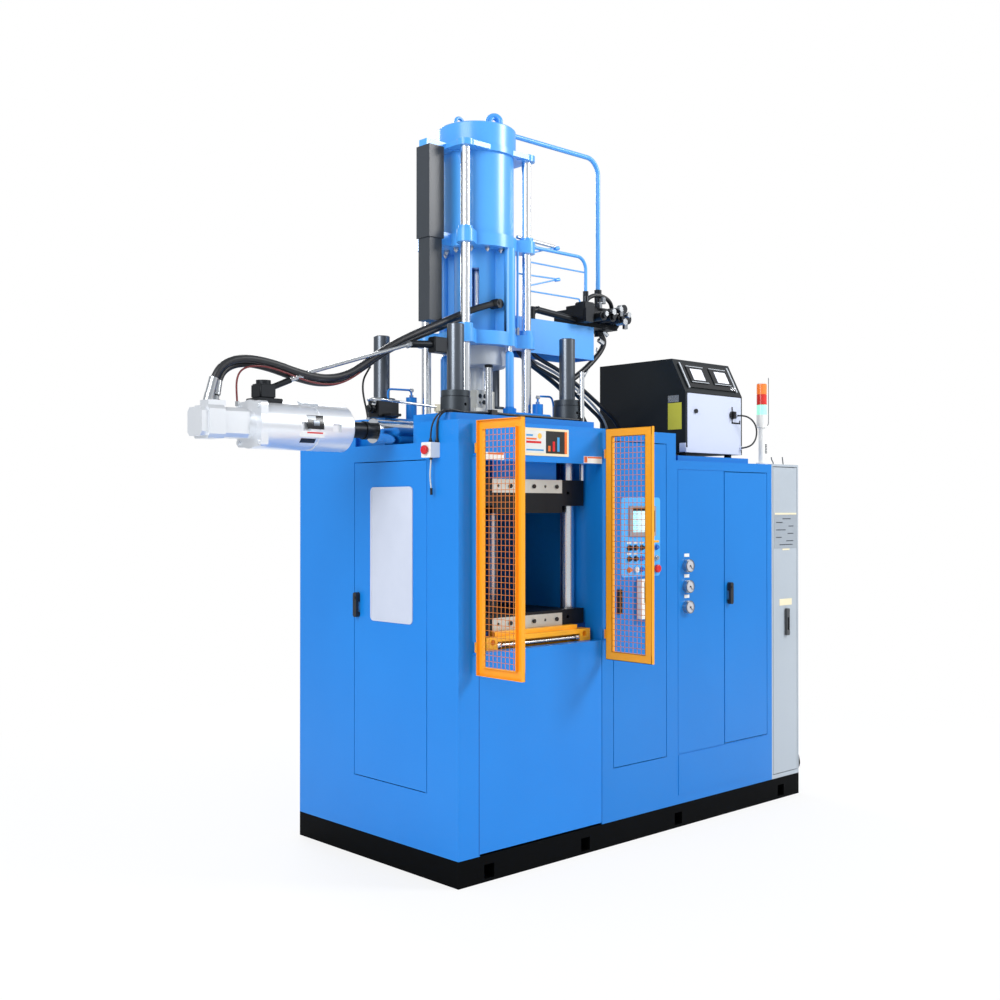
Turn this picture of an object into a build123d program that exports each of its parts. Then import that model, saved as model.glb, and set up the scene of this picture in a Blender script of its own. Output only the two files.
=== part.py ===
from build123d import *
import math
import os

# Vertical rubber injection moulding press, in millimetres.
# Every piece is drawn from the front left corner of the base: x along the front,
# y into the machine, z up. save() then puts the origin at the middle of the underside.

# Press housing and the three cabinets beside it; together they are as long as the base
PRESS_W = 918.0
CONTROL_W = 564.0
POWER_W = 852.0
GREY_W = 266.0

# Base frame
BASE_W = PRESS_W + CONTROL_W + POWER_W + GREY_W
BASE_D = 1208.0
BASE_H = 118.0
BASE_RAIL = 120.0
BASE_WEB = 80.0
POCKET_W = 60.0
POCKET_H = 62.0
POCKET_D = 90.0
FOOT_T = 14.0
ANCHOR_D = 22.0
ANCHOR_INSET = 180.0

# Sheet metal and running clearances
SHEET = 4.0
DOOR_SHEET = 2.5
DOOR_DEPTH = 28.0
DOOR_GAP = 4.0
SEAT = 0.3
RUN_FIT = 0.05

# Housing of the press
PRESS_TOP = 2022.0
PILLAR_W = 124.0
BAY_RIGHT = PRESS_W - SHEET
SILL_Z = 1003.0
HEADER_H = 173.0
HEADER_Z = PRESS_TOP - HEADER_H
PANEL_FOOT = BASE_H + 9.0
LIP = 36.0

# Crown and its height over the housing
CROWN_X0 = 40.0
CROWN_X1 = PRESS_W - 0.5
CROWN_LIP_X1 = PRESS_W + 52.0
CROWN_Y0 = 100.0
CROWN_Y1 = 834.0
CROWN_TOP = PRESS_TOP + 38.0
CROWN_FOOT = HEADER_Z + 8.0
BAY_BACK = CROWN_Y1 + 36.0
LINER_DROP = 140.0
SMALL_CYLINDER_D = 52.0
SMALL_CYLINDERS = ((245.0, 625.0, 110.0), (PRESS_W - 178.0, 260.0, 84.0))

# Access door in the left side
ACCESS_Y0 = 211.0
ACCESS_Y1 = 752.0
ACCESS_Z0 = 376.0
ACCESS_Z1 = PRESS_TOP - 168.0
WINDOW_W = 309.0
WINDOW_H = 620.0
WINDOW_Y0 = ACCESS_Y0 + 100.0
WINDOW_Y1 = WINDOW_Y0 + WINDOW_W
WINDOW_Z1 = ACCESS_Z1 - 119.0
WINDOW_Z0 = WINDOW_Z1 - WINDOW_H
WINDOW_R = 22.0
WINDOW_T = 5.0

# Control cabinet
CONTROL_X0 = PRESS_W
CONTROL_X1 = CONTROL_X0 + CONTROL_W
CONTROL_DOOR = (CONTROL_X0 + 80.0, CONTROL_X1 - 75.0, 373.0, PRESS_TOP - 56.0)
CONTROL_WALL_Y = 420.0
OPERATOR_W = 297.0
OPERATOR_H = 394.0
OPERATOR_X0 = CONTROL_DOOR[0] + 57.0
OPERATOR_X1 = OPERATOR_X0 + OPERATOR_W
OPERATOR_Z1 = CONTROL_DOOR[3] - 274.0
OPERATOR_Z0 = OPERATOR_Z1 - OPERATOR_H
OPERATOR_T = 3.0
SCREEN_W = 187.0
SCREEN_H = 137.0
SCREEN_X0 = OPERATOR_X0 + 62.0
SCREEN_X1 = SCREEN_X0 + SCREEN_W
SCREEN_Z1 = OPERATOR_Z1 - 50.0
SCREEN_Z0 = SCREEN_Z1 - SCREEN_H
SCREEN_PROUD = 8.0
CONTROL_COLS = tuple(OPERATOR_X0 + over for over in (57.0, 106.0, 152.0, 221.0, 266.0))
CONTROL_ROWS = tuple(OPERATOR_Z0 + up for up in (144.0, 90.0, 36.0))
KNOB_D = 28.0
KNOB_L = 20.0
BEZEL_T = 4.0
ESTOP_D = 40.0
PLUNGE = 5.0
STEM_D = 16.0
MODE_PLACE = (CONTROL_COLS[0], CONTROL_ROWS[0])
START_PLACE = (CONTROL_COLS[1], CONTROL_ROWS[2])
ESTOP_PLACE = (CONTROL_COLS[4], CONTROL_ROWS[2])
SOCKET_X = CONTROL_DOOR[0] + 44.0
SOCKET_H = 119.0
SOCKET_Z1 = OPERATOR_Z0 - 57.0
SOCKET_Z0 = SOCKET_Z1 - SOCKET_H
SWITCH_W = 76.0
SWITCH_H = 197.0
SWITCH_X0 = CONTROL_DOOR[0] + 174.0
SWITCH_X1 = SWITCH_X0 + SWITCH_W
SWITCH_Z1 = OPERATOR_Z0 - 12.0
SWITCH_Z0 = SWITCH_Z1 - SWITCH_H

# Power cabinet with its oil tank, and the narrow grey cabinet
POWER_X1 = CONTROL_X1 + POWER_W
POWER_TOP = 1884.0
POWER_DOOR = (CONTROL_X1 + 412.0, POWER_X1 - 44.0, 376.0, POWER_TOP - 48.0)
GAUGE_PANEL = (CONTROL_X1 + 18.0, POWER_DOOR[0] - 4.0, POWER_DOOR[2], POWER_DOOR[3])
PANEL_GROOVE = 3.0
GAUGE_X = CONTROL_X1 + 88.0
GAUGE_Z = (1340.0, 1233.0, 1127.0)
GAUGE_D = 67.0
GAUGE_PROUD = 26.0
KICK_Z0 = BASE_H + 45.0
KICK_T = 2.5
PLINTH_X0 = CONTROL_X1 + 70.0
PLINTH_X1 = POWER_X1 - 163.0
PLINTH_Y0 = 42.0
PLINTH_Y1 = 760.0
PLINTH_TOP = POWER_TOP + 29.0
TANK_X0 = CONTROL_X1 + 78.0
TANK_X1 = POWER_X1 - 74.0
TANK_Y0 = 180.0
TANK_Y1 = BASE_D - 88.0
TANK_TOP = 760.0
TANK_LID = 20.0
PUMP_X = POWER_X1 - 244.0
PUMP_Y = 420.0
PUMP_D = 250.0
PUMP_H = 508.0
GREY_TOP = 1887.0
GREY_DOOR = (POWER_X1 + 12.0, BASE_W - 12.0, BASE_H + 22.0, GREY_TOP - 13.0)
GREY_WALL_Y = 330.0

# Tie bars and clamp
TIE_X = (149.0, PRESS_W - 43.0)
TIE_Y = (CROWN_Y0 + 91.0, CROWN_Y1 - 100.0)
TIE_D = 70.0
TIE_TOP = CROWN_TOP + 408.0
TIE_FOOT = 560.0
SLEEVE_D = 78.0
NUT_D = 136.0
NUT_H = 76.0
COLLAR_H = 30.0
POST_D = 23.0
POST_X = PRESS_W - 18.0
POST_Y = CROWN_Y0 + 15.0
POST_TOP = CROWN_TOP + 242.0
BED_TOP = TIE_FOOT + 160.0
RAM_D = 300.0
RAM_FOOT = BASE_H + 82.0
CYL_D = 420.0
PLATEN_X0 = 60.0
PLATEN_X1 = PRESS_W - 2.0
PLATEN_Y0 = CROWN_Y0 + 10.0
PLATEN_Y1 = CROWN_Y1 - 19.0
PLATEN_Z0 = 950.0
PLATEN_T = 131.0
PLATEN_Z1 = PLATEN_Z0 + PLATEN_T
HOT_X0 = 295.0
HOT_X1 = PRESS_W - 168.0
HOT_Y0 = CROWN_Y0 + 5.0
HOT_Y1 = CROWN_Y1 - 14.0
LOWER_HOT_Z1 = PLATEN_Z1 + 58.0
LOWER_TOP = LOWER_HOT_Z1 + 14.0
UPPER_HOT_Z1 = HEADER_Z - 77.0
UPPER_HOT_Z0 = UPPER_HOT_Z1 - 63.0
UPPER_FOOT = UPPER_HOT_Z0 - 94.0
ADAPTOR_X1 = PRESS_W - 18.0
BLOCK_X1 = PRESS_W - 83.0
EAR_Y1 = HOT_Y0 + 45.0
EJECT_X0 = 210.0
EJECT_X1 = PRESS_W - 29.0
EJECT_Y0 = CROWN_Y0 - 48.0
EJECT_TOP = PLATEN_Z1 - 1.0
EJECT_DEEP = 96.0
EJECT_BAR_D = 19.0
EJECT_BAR_Z = EJECT_TOP - 61.0

# Injection unit on four guide rods, upwards from the crown
AXIS_X = PRESS_W / 2 + 62.0
AXIS_Y = 462.0
ROD_D = 46.0
ROD_DX = 199.0
ROD_DY = 143.0
ROD_FOOT = CROWN_TOP - 160.0
FLANGE_EAR_R = 42.0
FLANGE_R = 196.0
FLANGE_RISE = 355.0
LOW_FLANGE_T = 65.0
YOKE_H = 403.0
MID_FLANGE_T = 60.0
SHOT_H = 391.0
TOP_FLANGE_T = 29.0
CAP_H = 109.0
LOW_FLANGE_Z0 = CROWN_TOP + FLANGE_RISE
LOW_FLANGE_Z1 = LOW_FLANGE_Z0 + LOW_FLANGE_T
MID_FLANGE_Z0 = LOW_FLANGE_Z1 + YOKE_H
MID_FLANGE_Z1 = MID_FLANGE_Z0 + MID_FLANGE_T
TOP_FLANGE_Z0 = MID_FLANGE_Z1 + SHOT_H
TOP_FLANGE_Z1 = TOP_FLANGE_Z0 + TOP_FLANGE_T
CAP_TOP = TOP_FLANGE_Z1 + CAP_H
CAP_D = 382.0
SHOT_D = 362.0
YOKE_D = 220.0
YOKE_BORE = 120.0
YOKE_SLOT_W = 34.0
YOKE_SLOT_Z0 = LOW_FLANGE_Z1 + 100.0
YOKE_SLOT_Z1 = MID_FLANGE_Z0 - 93.0
RING_D = 284.0
RING_Z0 = LOW_FLANGE_Z0 - 95.0
NOZZLE_D = 60.0
HEAD_W = 190.0
HEAD_Z0 = CROWN_TOP - 124.0
HEAD_Z1 = HEAD_Z0 + 182.0
THROAT_Z1 = HEAD_Z1 + 88.0
CHANNEL_W = 210.0
CHANNEL_Z = HEAD_Z0 - 7.0
NOTCH_Y0 = AXIS_Y - 172.0
NOTCH_Y1 = AXIS_Y + 282.0
PLUNGER_D = 90.0
PLUNGER_Z0 = LOW_FLANGE_Z0 - 45.0
PLUNGER_Z1 = MID_FLANGE_Z1 + 87.0
LIFT_X = AXIS_X + 54.0
LIFT_Y = AXIS_Y - 177.0
LIFT_D = 54.0
LIFT_ROD_D = 24.0
LIFT_SLEEVE_D = 40.0
LIFT_PAD = 84.0
LIFT_PAD_H = 26.0
LIFT_IN = 220.0
EYE_R = 32.0
EYE_BAR = 17.0
EYE_DX = 62.0
EYE_DY = -58.0
DUCT_W = 89.0
DUCT_DEEP = 95.0
DUCT_X0 = AXIS_X - 353.0
DUCT_X1 = DUCT_X0 + DUCT_W
DUCT_Y0 = AXIS_Y - 64.0
DUCT_Y1 = DUCT_Y0 + DUCT_DEEP
DUCT_Z0 = LOW_FLANGE_Z1 + 36.0
DUCT_STEP_Z = MID_FLANGE_Z0 + 20.0
DUCT_TRIM = 7.0

# Arm, valve manifold and oil pipes
ARM_X0 = AXIS_X + 169.0
ARM_X1 = AXIS_X + 735.0
ARM_Y0 = AXIS_Y - 100.0
ARM_Y1 = AXIS_Y + 98.0
ARM_Z0 = LOW_FLANGE_Z0 - 3.0
ARM_Z1 = ARM_Z0 + 172.0
ARM_WALL = 6.0
MANIFOLD_X0 = ARM_X1 - 136.0
MANIFOLD_X1 = ARM_X1 + 184.0
MANIFOLD_Y0 = ARM_Y0 - 62.0
MANIFOLD_Y1 = ARM_Y1 - 40.0
MANIFOLD_Z1 = ARM_Z1 + 116.0
VALVE_D = 50.0
PIPE_D = 25.0
PIPE_Z = CAP_TOP + 35.0
PIPE_X = MANIFOLD_X1 - 42.0
PIPE_FOOT = MANIFOLD_Z1 + 109.0
PIPE_BEND = 85.0
PIPE2_D = 17.0
PIPE2_Y = AXIS_Y - ROD_DY
PIPE2_Z = MID_FLANGE_Z1 - 18.0
PIPE2_X = MANIFOLD_X0 + 27.0
PIPE2_FOOT = MANIFOLD_Z1 + 53.0
PIPE2_BEND = 60.0

# Plasticising unit, along -x from the injection head
SCREW_Z = CHANNEL_Z + 58.0
BARREL_D = 108.0
BARREL_X0 = -96.0
BARREL_LIP = 14.0
COUPLING_D = 73.0
COUPLING_L = 166.0
COUPLING_X0 = BARREL_X0 - BARREL_LIP - COUPLING_L
GEARBOX_D = 204.0
GEARBOX_L = 476.0
GEARBOX_X0 = COUPLING_X0 - GEARBOX_L
GEARBOX_PLATE = 190.0
GEARBOX_PLATE_T = 34.0
MOTOR_L = 251.0
MOTOR_X0 = GEARBOX_X0 - MOTOR_L
MOTOR_H = 134.0
PORT_H = 22.0

# Temperature controller on the power cabinet
CONTROLLER_H = 504.0
CONTROLLER_FOOT = 21.0
CONTROLLER_X0 = PLINTH_X0 + 110.0
CONTROLLER_X1 = PLINTH_X1 - 6.0
CONTROLLER_Y0 = PLINTH_Y0 + 37.0
CONTROLLER_Y1 = PLINTH_Y1 - 73.0
CONTROLLER_Z0 = PLINTH_TOP + CONTROLLER_FOOT
CONTROLLER_Z1 = CONTROLLER_Z0 + CONTROLLER_H
CONTROLLER_FACE_Z = CONTROLLER_Z0 + 323.0
CONTROLLER_SLOPE_Y = CONTROLLER_Y0 + 93.0
ISOLATOR_X = CONTROLLER_X1 - 99.0
ISOLATOR_Z = CONTROLLER_Z0 + 216.0
ISOLATOR_D = 44.0
ISOLATOR_STEM_D = 12.0

# Signal tower
SIGNAL_X = POWER_X1 - 28.0
SIGNAL_Y = 45.0
SIGNAL_D = 58.0
SIGNAL_POLE_D = 22.0
SIGNAL_BASE_Z = POWER_TOP + 208.0
SIGNAL_LENS_Z = SIGNAL_BASE_Z + 71.0
LENS_H = 58.0

# Emergency stop box on the left side
BOX_W = 65.0
BOX_H = 67.0
BOX_Y0 = 124.0
BOX_Y1 = BOX_Y0 + BOX_W
BOX_Z0 = PRESS_TOP - 163.0
BOX_Z1 = BOX_Z0 + BOX_H
BOX_DEEP = 52.0
BOX_BORE = 22.0
BOX_BORE_DEEP = 18.0

# Doors and handles
PIVOT_D = 8.0
PIVOT_INSET = 6.0
PIVOT_TAB = 8.0
PIVOT_IN = 12.0
HANDLE_W = 26.0
HANDLE_L = 117.0
HANDLE_DEEP = 24.0
HANDLE_PIVOT = 26.0
SPINDLE_D = 14.0
HANDLE_X = POWER_DOOR[0] + 38.0
HANDLE_Z1 = 1240.0
HANDLE_Z0 = HANDLE_Z1 - HANDLE_L
HANDLE_Y = ACCESS_Y1 - 34.0
ACCESS_HANDLE_Z1 = 1241.0
GREY_HANDLE_X = GREY_DOOR[0] + 130.0
GREY_HANDLE_W = 28.0
GREY_HANDLE_L = 152.0
GREY_HANDLE_Z0 = 917.0
GREY_HANDLE_Z1 = GREY_HANDLE_Z0 + GREY_HANDLE_L

# Guard leaves beside the mould bay
GUARD_LEAF = 284.0
GUARD_T = 20.0
GUARD_STILE = 40.0
GUARD_Z0 = SILL_Z - 90.0
GUARD_Z1 = PRESS_TOP - 3.0
GUARD_LEFT_X = PILLAR_W - 32.0
GUARD_RIGHT_X = CONTROL_X0 + 12.0
GUARD_PIN_Y = -14.0
GUARD_PIN_D = 10.0
HINGE_H = 50.0
HINGE_INSET = 120.0
GUARD_EYE_R = 7.5
GUARD_MESH_COLS = 4
GUARD_MESH_ROWS = 20
GUARD_WIRE = 3.0

# Hoses and cables, as the points that each one follows
FERRULE_D = 40.0
FERRULE_L = 30.0
HOSE_PORT_X = AXIS_X + 1.0
HOSE_PORT_Y0 = 294.0
HOSE_PORT_Y1 = 360.0
HOSE_PORT_Z = 2616.0
HOSE_PORT_D = 44.0
MOTOR_HOSE_D = 32.0
MOTOR_HOSE = [
    (-935, 462, 2104), (-914, 461, 2184), (-856, 458, 2242), (-765, 454, 2262), (-645, 450, 2250),
    (-511, 444, 2215), (-385, 438, 2200), (-270, 430, 2226), (-165, 420, 2295), (-50, 408, 2375),
    (80, 396, 2440), (210, 388, 2495), (325, 380, 2546), (415, 342, 2588), (493.5, 318, 2613),
]
ARM_HOSE_D = 26.0
ARM_HOSE = [
    (800, 500, 2577.7), (800, 500, 2500), (850, 508, 2430), (930, 518, 2385), (1040, 535, 2345),
    (1180, 570, 2300), (1330, 620, 2245), (1480, 680, 2175), (1580, 718, 2115), (1635, 740, 2040),
    (1650, 748, 1975), (1650, 748, 1913.3),
]
ESTOP_CABLE_D = 8.0
ESTOP_CABLE = [
    (-26, 156, 1926.3), (-26, 156, 1966), (-25, 144, 2012), (-12, 124, 2050), (22, 112, 2071),
    (68, 110, 2072), (120, 111, 2066), (180, 112, 2066), (236, 115, 2071), (289.7, 116, 2072),
]
ISOLATOR_CABLE_D = 9.0
ISOLATOR_CABLE = [
    (2112, 68.7, 2150), (2112, 36, 2150), (2141, 10, 2138), (2182, 4, 2108), (2204, 6, 2068),
    (2200, 10, 2024), (2178, 18, 1990), (2150, 38, 1974), (2146, 68.7, 1972),
]


def box(x0, x1, y0, y1, z0, z1):
    """A block given by its six faces."""
    size = (x1 - x0, y1 - y0, z1 - z0)
    return Pos((x0 + x1) / 2, (y0 + y1) / 2, (z0 + z1) / 2) * Box(*size)


def rod(x, y, z0, z1, d):
    """An upright round bar."""
    return Pos(x, y, (z0 + z1) / 2) * Cylinder(d / 2, z1 - z0)


def rod_x(x0, x1, y, z, d):
    """A round bar along x."""
    return Pos((x0 + x1) / 2, y, z) * Rot(0, 90, 0) * Cylinder(d / 2, x1 - x0)


def rod_y(y0, y1, x, z, d):
    """A round bar along y."""
    return Pos(x, (y0 + y1) / 2, z) * Rot(90, 0, 0) * Cylinder(d / 2, y1 - y0)


def save(name, *shapes):
    """Write one node, moved so that the origin is at the middle of the underside."""
    moved = [Pos(-BASE_W / 2, -BASE_D / 2, 0) * shape for shape in shapes]
    solids = [solid for shape in moved for solid in shape.solids()]
    whole = solids[0] if len(solids) == 1 else Compound(solids)
    export_step(whole, "parts/" + name + ".step")


def tie_places():
    return [(x, y) for x in TIE_X for y in TIE_Y]


def rod_places():
    return [(AXIS_X + sx * ROD_DX, AXIS_Y + sy * ROD_DY) for sx in (-1, 1) for sy in (-1, 1)]


def base_frame():
    """Welded black base with fork pockets, each with a foot flange and an anchor hole."""
    body = box(0, BASE_W, 0, BASE_D, 0, BASE_H)
    for x0, x1 in base_bays():
        body -= box(x0, x1, BASE_RAIL, BASE_D - BASE_RAIL, FOOT_T, BASE_H)
    for x in anchor_places():
        for side in (0, 1):
            y0 = side * (BASE_D - POCKET_D)
            body -= box(x - POCKET_W / 2, x + POCKET_W / 2, y0, y0 + POCKET_D, FOOT_T, FOOT_T + POCKET_H)
            body -= rod(x, y0 + POCKET_D / 2, -1, FOOT_T + 1, ANCHOR_D)
    return body


def base_bays():
    """Spans between the cross webs, one under the press and two under the cabinets."""
    webs = (PRESS_W, POWER_X1 - BASE_RAIL - 2 * ANCHOR_INSET)
    starts = (BASE_RAIL, *[x + BASE_WEB / 2 for x in webs])
    ends = (*[x - BASE_WEB / 2 for x in webs], BASE_W - BASE_RAIL)
    return list(zip(starts, ends))


def anchor_places():
    return (ANCHOR_INSET, PRESS_W - 118.0, CONTROL_X1 + 18.0, BASE_W - ANCHOR_INSET)


def press_housing():
    """Folded sheet housing of the press: left side, corner pillar, header and rear."""
    shell = box(0, PRESS_W, 0, BASE_D, BASE_H, PRESS_TOP)
    shell -= box(SHEET, PRESS_W + 1, SHEET, BASE_D - SHEET, BASE_H - 1, PRESS_TOP + 1)
    shell -= box(PILLAR_W, PRESS_W + 1, -1, SHEET + 1, BASE_H - 1, HEADER_Z)
    shell -= box(-1, SHEET + 1, ACCESS_Y0, ACCESS_Y1, ACCESS_Z0, ACCESS_Z1)
    shell -= box(-1, SHEET + 1, NOTCH_Y0, NOTCH_Y1, CHANNEL_Z, PRESS_TOP + 1)
    shell += box(PILLAR_W - SHEET, PILLAR_W, 0, LIP, BASE_H, HEADER_Z)
    shell += box(PILLAR_W - SHEET, PRESS_W, 0, LIP, HEADER_Z, HEADER_Z + SHEET)
    return shell


def front_panel():
    """Lower front panel, folded in at the sill."""
    skin = box(PILLAR_W, BAY_RIGHT, 0, SHEET, PANEL_FOOT, SILL_Z)
    sill = box(PILLAR_W, BAY_RIGHT, 0, EJECT_Y0 - 2, SILL_Z - SHEET, SILL_Z)
    foot = box(PILLAR_W, BAY_RIGHT, 0, LIP, PANEL_FOOT, PANEL_FOOT + SHEET)
    return skin + sill + foot


def bay_liner():
    """Dark liner behind the mould bay, from the sill to the crown."""
    foot = SILL_Z - LINER_DROP
    back = box(SHEET, PRESS_W, BAY_BACK, BAY_BACK + SHEET, foot, HEADER_Z)
    top = box(SHEET, PRESS_W, BAY_BACK, BASE_D - SHEET, foot - SHEET, foot)
    return back + top


def shell_with_door(x0, x1, z0, z1, opening):
    """Sheet cabinet from front to back with one opening in its front."""
    shell = box(x0, x1, 0, BASE_D, z0, z1)
    shell -= box(x0 + SHEET, x1 - SHEET, SHEET, BASE_D - SHEET, z0 + SHEET, z1 - SHEET)
    shell -= box(opening[0], opening[1], -1, SHEET + 1, opening[2], opening[3])
    return shell


def mounting_plate(x0, x1, y, z0, z1, rows):
    """Back plate of a cabinet with rows of switchgear and trunking between them."""
    plate = box(x0, x1, y, y + 3, z0, z1)
    pitch = (z1 - z0) / rows
    deep = 70.0
    for row in range(rows):
        z = z0 + pitch * (row + 0.5)
        plate += box(x0 + 20, x1 - 20, y - 45, y, z - pitch * 0.45, z - pitch * 0.45 + 40)
        units = 4
        wide = (x1 - x0 - 60) / units
        for unit in range(units):
            left = x0 + 30 + wide * unit
            plate += box(left, left + wide - 8, y - deep, y, z - 20, z + pitch * 0.25)
    return plate


def control_cabinet():
    """Tall cabinet beside the bay with its mounting plate on the rear wall of the bay."""
    shell = shell_with_door(CONTROL_X0, CONTROL_X1, BASE_H, PRESS_TOP, CONTROL_DOOR)
    back = CONTROL_WALL_Y
    shell += box(CONTROL_X0, CONTROL_X1, back, back + SHEET, BASE_H, PRESS_TOP)
    door = CONTROL_DOOR
    shell += mounting_plate(door[0] + 20, door[1] - 20, back - 3, door[2] + 120, door[3] - 120, 4)
    return shell


def power_cabinet():
    """Hydraulic cabinet with a fixed gauge panel, a kick plate and a plinth on top."""
    shell = shell_with_door(CONTROL_X1, POWER_X1, BASE_H, POWER_TOP, POWER_DOOR)
    groove = PANEL_GROOVE
    deep = SHEET / 2
    p = GAUGE_PANEL
    rim = box(p[0] - groove, p[1] + groove, -1, deep, p[2] - groove, p[3] + groove)
    shell -= rim - box(p[0], p[1], -2, deep + 1, p[2], p[3])
    for z in GAUGE_Z:
        shell -= rod_y(-1, SHEET + 1, GAUGE_X, z, 20)
    shell += box(p[0], POWER_DOOR[1], -KICK_T, 0, KICK_Z0, POWER_DOOR[2] - 6)
    shell += box(PLINTH_X0, PLINTH_X1, PLINTH_Y0, PLINTH_Y1, POWER_TOP, PLINTH_TOP)
    return shell


def power_unit():
    """Oil tank with its pump and motor behind the cabinet door."""
    floor = BASE_H + SHEET
    tank = fillet(box(TANK_X0, TANK_X1, TANK_Y0, TANK_Y1, floor, TANK_TOP).edges().filter_by(Axis.Z), 20)
    rim = TANK_LID
    lid = TANK_TOP + 12
    tank += box(TANK_X0 - rim, TANK_X1 + rim, TANK_Y0 - rim, TANK_Y1 + rim, TANK_TOP, lid)
    tank += rod(PUMP_X, PUMP_Y, lid, lid + PUMP_H, PUMP_D)
    tank += rod(PUMP_X, PUMP_Y, lid + PUMP_H, lid + PUMP_H + 50, PUMP_D - 60)
    tank += box(TANK_X0 + 140, TANK_X0 + 340, PUMP_Y - 120, PUMP_Y + 140, lid, lid + 238)
    return tank


def pressure_gauges():
    """Three dial gauges, each pushed through the panel with its nut behind."""
    gauges = []
    for z in GAUGE_Z:
        body = rod_y(-GAUGE_PROUD, 0, GAUGE_X, z, GAUGE_D)
        body = chamfer(body.edges().filter_by(GeomType.CIRCLE).group_by(Axis.Y)[0], 2.5)
        body -= rod_y(-GAUGE_PROUD - 1, -GAUGE_PROUD + 2, GAUGE_X, z, GAUGE_D - 12)
        body += rod_y(-1, 40, GAUGE_X, z, 20)
        body += rod_y(SHEET, SHEET + 12, GAUGE_X, z, 34)
        gauges.append(body)
    return gauges


def grey_cabinet():
    """Narrow cabinet at the right end with its mounting plate."""
    shell = shell_with_door(POWER_X1, BASE_W, BASE_H, GREY_TOP, GREY_DOOR)
    plate_y = GREY_WALL_Y
    shell += box(POWER_X1, BASE_W, plate_y + 3, plate_y + 3 + SHEET, BASE_H, GREY_TOP)
    foot = GREY_DOOR[2] + 280
    head = GREY_DOOR[3] - 174
    shell += mounting_plate(GREY_DOOR[0] + 14, GREY_DOOR[1] - 14, plate_y, foot, head, 4)
    return shell


def crown():
    """Fixed upper platen with a channel for the plasticising barrel and the spacer below."""
    body = box(CROWN_X0, CROWN_X1, CROWN_Y0, CROWN_Y1, CROWN_FOOT, CROWN_TOP)
    body += box(CROWN_X0, CROWN_LIP_X1, CROWN_Y0, CROWN_Y1, PRESS_TOP, CROWN_TOP)
    body = fillet(body.edges().filter_by(Axis.Z).group_by(Axis.X)[0], 40)
    body += box(HOT_X0 + 20, HOT_X1 - 20, HOT_Y0 + 20, HOT_Y1 - 20, UPPER_HOT_Z1, CROWN_FOOT)
    half = CHANNEL_W / 2
    body -= box(-1, AXIS_X + half, AXIS_Y - half, AXIS_Y + half, CHANNEL_Z, CROWN_TOP + 1)
    body -= rod(AXIS_X, AXIS_Y, UPPER_HOT_Z1 - 1, CROWN_TOP + 1, NOZZLE_D + 20)
    for x, y in tie_places():
        body -= rod(x, y, HEADER_Z, CROWN_TOP + 1, TIE_D)
    for x, y in rod_places():
        body -= rod(x, y, HEADER_Z, CROWN_TOP + 1, ROD_D + 2 * RUN_FIT)
    pad = LIFT_PAD
    for x, y in lift_places():
        body += box(x - pad / 2, x + pad / 2, y - pad / 2, y + pad / 2, CROWN_TOP, CROWN_TOP + LIFT_PAD_H)
    body -= rod(POST_X, POST_Y, CROWN_FOOT - 1, CROWN_TOP + 1, POST_D)
    for x, y, h in SMALL_CYLINDERS:
        body += rod(x, y, CROWN_TOP, CROWN_TOP + h, SMALL_CYLINDER_D)
        body += rod(x, y, CROWN_TOP + h, CROWN_TOP + h + 12, 18)
    return body


def lift_places():
    return ((LIFT_X, LIFT_Y), (2 * AXIS_X - LIFT_X, 2 * AXIS_Y - LIFT_Y))


def tie_bars():
    """Four tie bars, with the sleeves that cover their ends above the crown."""
    bars = []
    for x, y in tie_places():
        bar = rod(x, y, TIE_FOOT, CROWN_TOP + NUT_H, TIE_D)
        bar += rod(x, y, CROWN_TOP + NUT_H + COLLAR_H, TIE_TOP, SLEEVE_D)
        bar += rod(x, y, CROWN_TOP + NUT_H, CROWN_TOP + NUT_H + COLLAR_H, TIE_D)
        bar = chamfer(bar.edges().filter_by(GeomType.CIRCLE).group_by(Axis.Z)[-1], 3)
        bars.append(bar)
    return bars


def signal_rod():
    """Slim rod through the front right corner of the crown, standing on the adaptor's ear."""
    return rod(POST_X, POST_Y, UPPER_HOT_Z1, POST_TOP, POST_D)


def tie_bar_nuts():
    """Round nuts with a thinner locking collar and one hole for the hook spanner."""
    nuts = []
    for x, y in tie_places():
        nut = rod(x, y, CROWN_TOP, CROWN_TOP + NUT_H, NUT_D)
        nut += rod(x, y, CROWN_TOP + NUT_H + 4, CROWN_TOP + NUT_H + COLLAR_H, NUT_D - 6)
        nut += rod(x, y, CROWN_TOP + NUT_H, CROWN_TOP + NUT_H + 4, NUT_D - 16)
        nut -= rod(x, y, CROWN_TOP - 1, CROWN_TOP + NUT_H + COLLAR_H + 1, TIE_D)
        nut -= rod_y(y - NUT_D / 2 - 1, y - TIE_D / 2 - 14, x, CROWN_TOP + NUT_H * 0.55, 14)
        nuts.append(nut)
    return nuts


def clamp_cylinder():
    """Clamp cylinder with the bed plate that anchors the tie bars."""
    bed = box(PLATEN_X0, CROWN_X1, CROWN_Y0, CROWN_Y1, TIE_FOOT, BED_TOP)
    bed += rod(AXIS_X, AXIS_Y, BASE_H, BED_TOP, CYL_D)
    bed += box(PLATEN_X0, PLATEN_X1, CROWN_Y0 + 20, CROWN_Y0 + 60, BASE_H, TIE_FOOT)
    bed += box(PLATEN_X0, PLATEN_X1, CROWN_Y1 - 60, CROWN_Y1 - 20, BASE_H, TIE_FOOT)
    bed -= rod(AXIS_X, AXIS_Y, RAM_FOOT - 20, BED_TOP + 1, RAM_D + 2 * RUN_FIT)
    for x, y in tie_places():
        bed -= rod(x, y, TIE_FOOT - 1, BED_TOP + 1, TIE_D)
    return bed


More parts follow.
